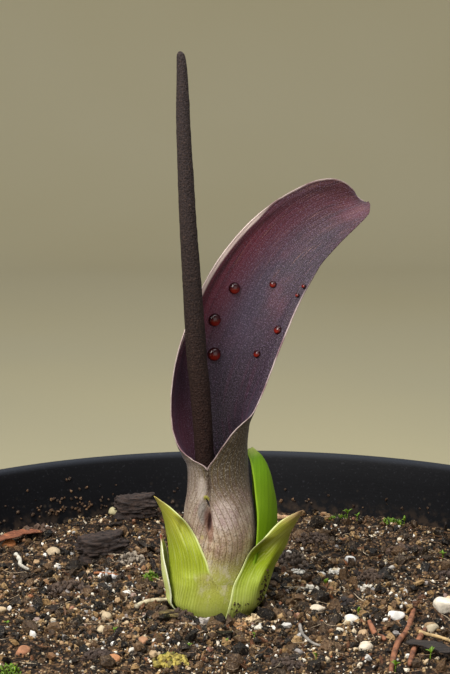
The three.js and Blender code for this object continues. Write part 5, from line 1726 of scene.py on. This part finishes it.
class BIARUM_OT_leaves(bpy.types.Operator):
    """Three sheath leaves and the green leaf"""
    bl_idname = "biarum.leaves"
    bl_label = "Leaves"

    def execute(self, context):
        colours = colours_of(context)
        rib = sizes_of(context).rib_spacing * 1000
        cream, white = srgb(222, 228, 160), srgb(236, 236, 214)
        # grid columns and rows, material, tones from foot to margin, and the other numbers of the finish
        leaves = {
            "cataphyll_left": (
                (84, 104), "sheath_left_skin",
                (srgb(196, 206, 92), colours.sheath, srgb(172, 168, 56), srgb(180, 160, 84), cream),
                (28, 31.5, rib, 0.42, 0.6, 0.24)),
            "cataphyll_right": (
                (60, 110), "sheath_right_skin",
                (srgb(190, 200, 100), colours.sheath_right, srgb(148, 146, 46), srgb(158, 126, 92), cream),
                (24.0, 28.4, rib, 0.25, 0.6, 0.24)),
            "leaf_green": (
                (60, 110), "leaf_green_skin",
                (srgb(140, 168, 40), colours.green, srgb(100, 140, 0), srgb(176, 190, 90),
                 srgb(140, 174, 30)),
                (40, 42.6, rib * 1.6, 0.12, 0.5, 0.1, 0.55)),
            "cataphyll_small": (
                (34, 60), "sheath_small_skin",
                (srgb(206, 216, 120), colours.pale, srgb(222, 224, 150), srgb(150, 76, 66), white),
                (16.8, 18.9, rib, 0.16, 0.9, 0.5)),
        }
        for name, (grid, skin, tones, numbers) in leaves.items():
            finish = leaf_finish(skin, tones, *numbers)
            make_piece(name + "_blade", planted(sheath_surface(name, *grid)), finish, (name,), name)
        return {"FINISHED"}


class BIARUM_OT_dew(bpy.types.Operator):
    """Drops of water on the inside of the limb"""
    bl_idname = "biarum.dew"
    bl_label = "Dew"

    def execute(self, context):
        """Each drop is a flattened ball cut off at the skin and closed under it. low grows towards the
        side that hangs down, and rim from the top to the edge."""
        parts = []
        for t, u, radius in DEW:
            t, u = np.array(t), np.array(u)
            wall = row_at(SPATHE_ROWS, t)[9]
            at, _ = blade_points(t, u, wall)
            beyond, _ = blade_points(t, u, wall + 1)
            out = unit(beyond - at)
            aside = unit(np.cross(out, np.array([0.0, 0.0, 1.0])))
            up = np.cross(aside, out)
            rise, angle = np.meshgrid(np.linspace(-0.35, math.pi / 2, 12), np.linspace(0, 2 * math.pi, 29),
                                      indexing="ij")
            angle[:, -1] = 0
            ring = np.cos(rise)
            ring[-1] = 0
            tall = np.maximum(np.sin(rise), -0.25) * 0.8
            round_ = ring[..., None] * (np.cos(angle)[..., None] * aside + np.sin(angle)[..., None] * up)
            points = at + out * 0.12 + radius * (round_ + tall[..., None] * out)
            points = np.concatenate([np.repeat((at - out * 0.1)[None, None], 29, 1), points])
            ring = np.concatenate([ring[:1], ring])
            low = np.concatenate([0 * angle[:1], -ring[1:] * np.sin(angle)])
            parts.append(grid_surface(points, low=low, rim=ring))
        make_piece("dew_drops", planted(collect(parts)), dew_finish(colours_of(context)),
                   tuple("drop_%d" % (k + 1) for k in range(len(DEW))), "drops")
        return {"FINISHED"}


class BIARUM_OT_growth(bpy.types.Operator):
    """Moss cushions, seedlings and soil splashed on the leaves and the pot"""
    bl_idname = "biarum.growth"
    bl_label = "Moss and splashes"

    def execute(self, context):
        rng = np.random.default_rng(GROWTH_SEED)
        parts = []
        for x, y, radius, tall, count in MOSS:
            y = row_y(y)
            spot = rng.uniform(0, 1, count) ** 0.5
            angle = rng.uniform(0, 2 * math.pi, count)
            px, py = x + radius * spot * np.cos(angle), y + radius * 0.8 * spot * np.sin(angle)
            foot = np.stack([px, py, ground_at(px, py) + tall * (1 - spot ** 2) - 0.3], -1)
            parts.append(self.blades(foot, rng.uniform(0.7, 1.5, count), rng.uniform(0.16, 0.3, count), rng))
        for x, y, tall in SPROUTS:
            y = row_y(y)
            foot = np.array([[x, y, ground_at(x, y)]])
            stem = foot[:, None] + np.stack([0.15 * np.linspace(0, 1, 6) ** 2, np.zeros(6),
                                             np.linspace(-0.3, tall * 0.5, 6)], -1)
            parts.append(tubes(stem, np.full((1, 6), 0.13), 6, {"tint": 0.6}))
            head = np.repeat(stem[:, -1], 4, 0)
            length = rng.uniform(0.3, 0.6, 4) * tall
            parts.append(self.blades(head, length, np.full(4, tall * 0.14), rng, 0.6))
        finish = moss_finish(colours_of(context))
        make_piece("moss_growth", collect(parts), finish, slot="leaf_green", whole=False)
        self.splashes(rng)
        return {"FINISHED"}

    def blades(self, foot, length, width, rng, tint=None):
        """Tiny leaves: each is a lens section carried up an arc that leans out, closed at both ends."""
        count = len(foot)
        s = np.linspace(0, 1, 5)
        lean = rng.uniform(0.3, 1.25, count)[:, None]
        heading = rng.uniform(0, 2 * math.pi, count)[:, None]
        away = length[:, None] * s * np.sin(lean * s)
        rise = length[:, None] * s * np.cos(lean * s * 0.9)
        spine = foot[:, None] + np.stack([away * np.cos(heading), away * np.sin(heading), rise], -1)
        aside = np.stack([-np.sin(heading), np.cos(heading), 0 * heading], -1)
        thick = np.stack([np.cos(heading) * np.cos(lean), np.sin(heading) * np.cos(lean), -np.sin(lean)], -1)
        wide = (width[:, None] * np.sin(math.pi * (0.12 + 0.84 * s)) ** 0.8)[..., None]
        ring = np.stack([spine + aside * wide, spine + thick * wide * 0.35, spine - aside * wide,
                         spine - thick * wide * 0.35], 2)
        index = np.arange(count * 20).reshape(count, 5, 4)
        wrapped = np.concatenate([index, index[:, :, :1]], 2)
        faces = np.concatenate([stalk_faces(wrapped), index[:, 0, ::-1], index[:, -1]])
        values = rng.uniform(0, 1, count) if tint is None else np.full(count, tint)
        return ring.reshape(-1, 3), faces[:, ::-1], {"tint": np.repeat(values, 20)}

    def splashes(self, rng):
        """Crumbs stuck on the sheaths and, thrown and settled, on the inside of the pot's wall."""
        count = 60
        t = 2.9 + rng.normal(0, 0.5, count) + rng.uniform(0, 0.9, count)
        s = 0.46 + rng.normal(0, 0.03, count) - (t - 3) * 0.01
        high, _ = sheath_grid("cataphyll_right", t, s, -0.1)
        low, _ = sheath_grid("cataphyll_right", rng.normal(2.4, 0.25, 16), rng.uniform(0.02, 0.26, 16), -0.1)
        left, _ = sheath_grid("cataphyll_left", rng.normal(2.4, 0.2, 7), rng.normal(0.3, 0.01, 7), -0.1)
        stuck = np.concatenate([high, low, left]) + (FOOT_X, FOOT_Y, SOIL_Z)
        sizes = rng.uniform(0.12, 0.36, (len(stuck), 1)) * rng.uniform(0.6, 1.3, (len(stuck), 3))
        parts = [crumbs(stuck, sizes, rng.uniform(0, 0.7, len(stuck)), rng)]
        count = 70
        angle = rng.normal(-28, 5, count)
        z = SOIL_Z + 3.7 + np.abs(rng.normal(0, 4.5, count)).clip(0, 13)
        more = rng.uniform(-180, 180, 160)
        angle = np.radians(np.concatenate([angle, more]))
        z = np.concatenate([z, SOIL_Z + 3.4 + rng.exponential(1.6, 160).clip(0, 10)])
        r = wall_inner(z) - 0.15
        wall = np.stack([r * np.sin(angle), r * np.cos(angle), z], -1)
        sizes = rng.uniform(0.2, 0.62, (len(wall), 1)) * rng.uniform(0.6, 1.3, (len(wall), 3))
        parts.append(crumbs(wall, sizes, rng.uniform(0, 1, len(wall)), rng))
        finish = crumb_finish("splash_soil", [
            (0.0, srgb(44, 31, 21)), (0.6, srgb(74, 52, 34)), (1.0, srgb(118, 88, 60))])
        make_piece("splashes", collect(parts), finish, slot="soil", whole=False, smooth=False)


class BIARUM_PT_parts(bpy.types.Panel):
    """Buttons for the pieces, with the sizes and colours that they use"""
    bl_idname = "BIARUM_PT_parts"
    bl_label = "Potted biarum"
    bl_space_type = "VIEW_3D"
    bl_region_type = "UI"
    bl_category = "Biarum"

    def draw(self, context):
        for operator in OPERATORS:
            self.layout.operator(operator.bl_idname)
        scene = context.scene
        for group, kind in ((scene.biarum_sizes, BiarumSizes), (scene.biarum_colours, BiarumColours)):
            for key in kind.__annotations__:
                self.layout.prop(group, key)


OPERATORS = (
    BIARUM_OT_stage, BIARUM_OT_pot, BIARUM_OT_soil, BIARUM_OT_crumbs, BIARUM_OT_stones, BIARUM_OT_bark,
    BIARUM_OT_stalks, BIARUM_OT_tuber, BIARUM_OT_spathe, BIARUM_OT_spadix, BIARUM_OT_leaves, BIARUM_OT_dew,
    BIARUM_OT_growth,
)
CLASSES = (BiarumSizes, BiarumColours, *OPERATORS, BIARUM_PT_parts)


def register():
    """Registers the classes and hangs the two groups on the scene."""
    for kind in CLASSES:
        bpy.utils.register_class(kind)
    bpy.types.Scene.biarum_sizes = PointerProperty(type=BiarumSizes)
    bpy.types.Scene.biarum_colours = PointerProperty(type=BiarumColours)


def unregister():
    """Takes away what register adds."""
    del bpy.types.Scene.biarum_colours
    del bpy.types.Scene.biarum_sizes
    for kind in reversed(CLASSES):
        bpy.utils.unregister_class(kind)


def main():
    """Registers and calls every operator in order."""
    register()
    for operator in OPERATORS:
        family, name = operator.bl_idname.split(".")
        getattr(getattr(bpy.ops, family), name)()


if __name__ == "__main__":
    main()
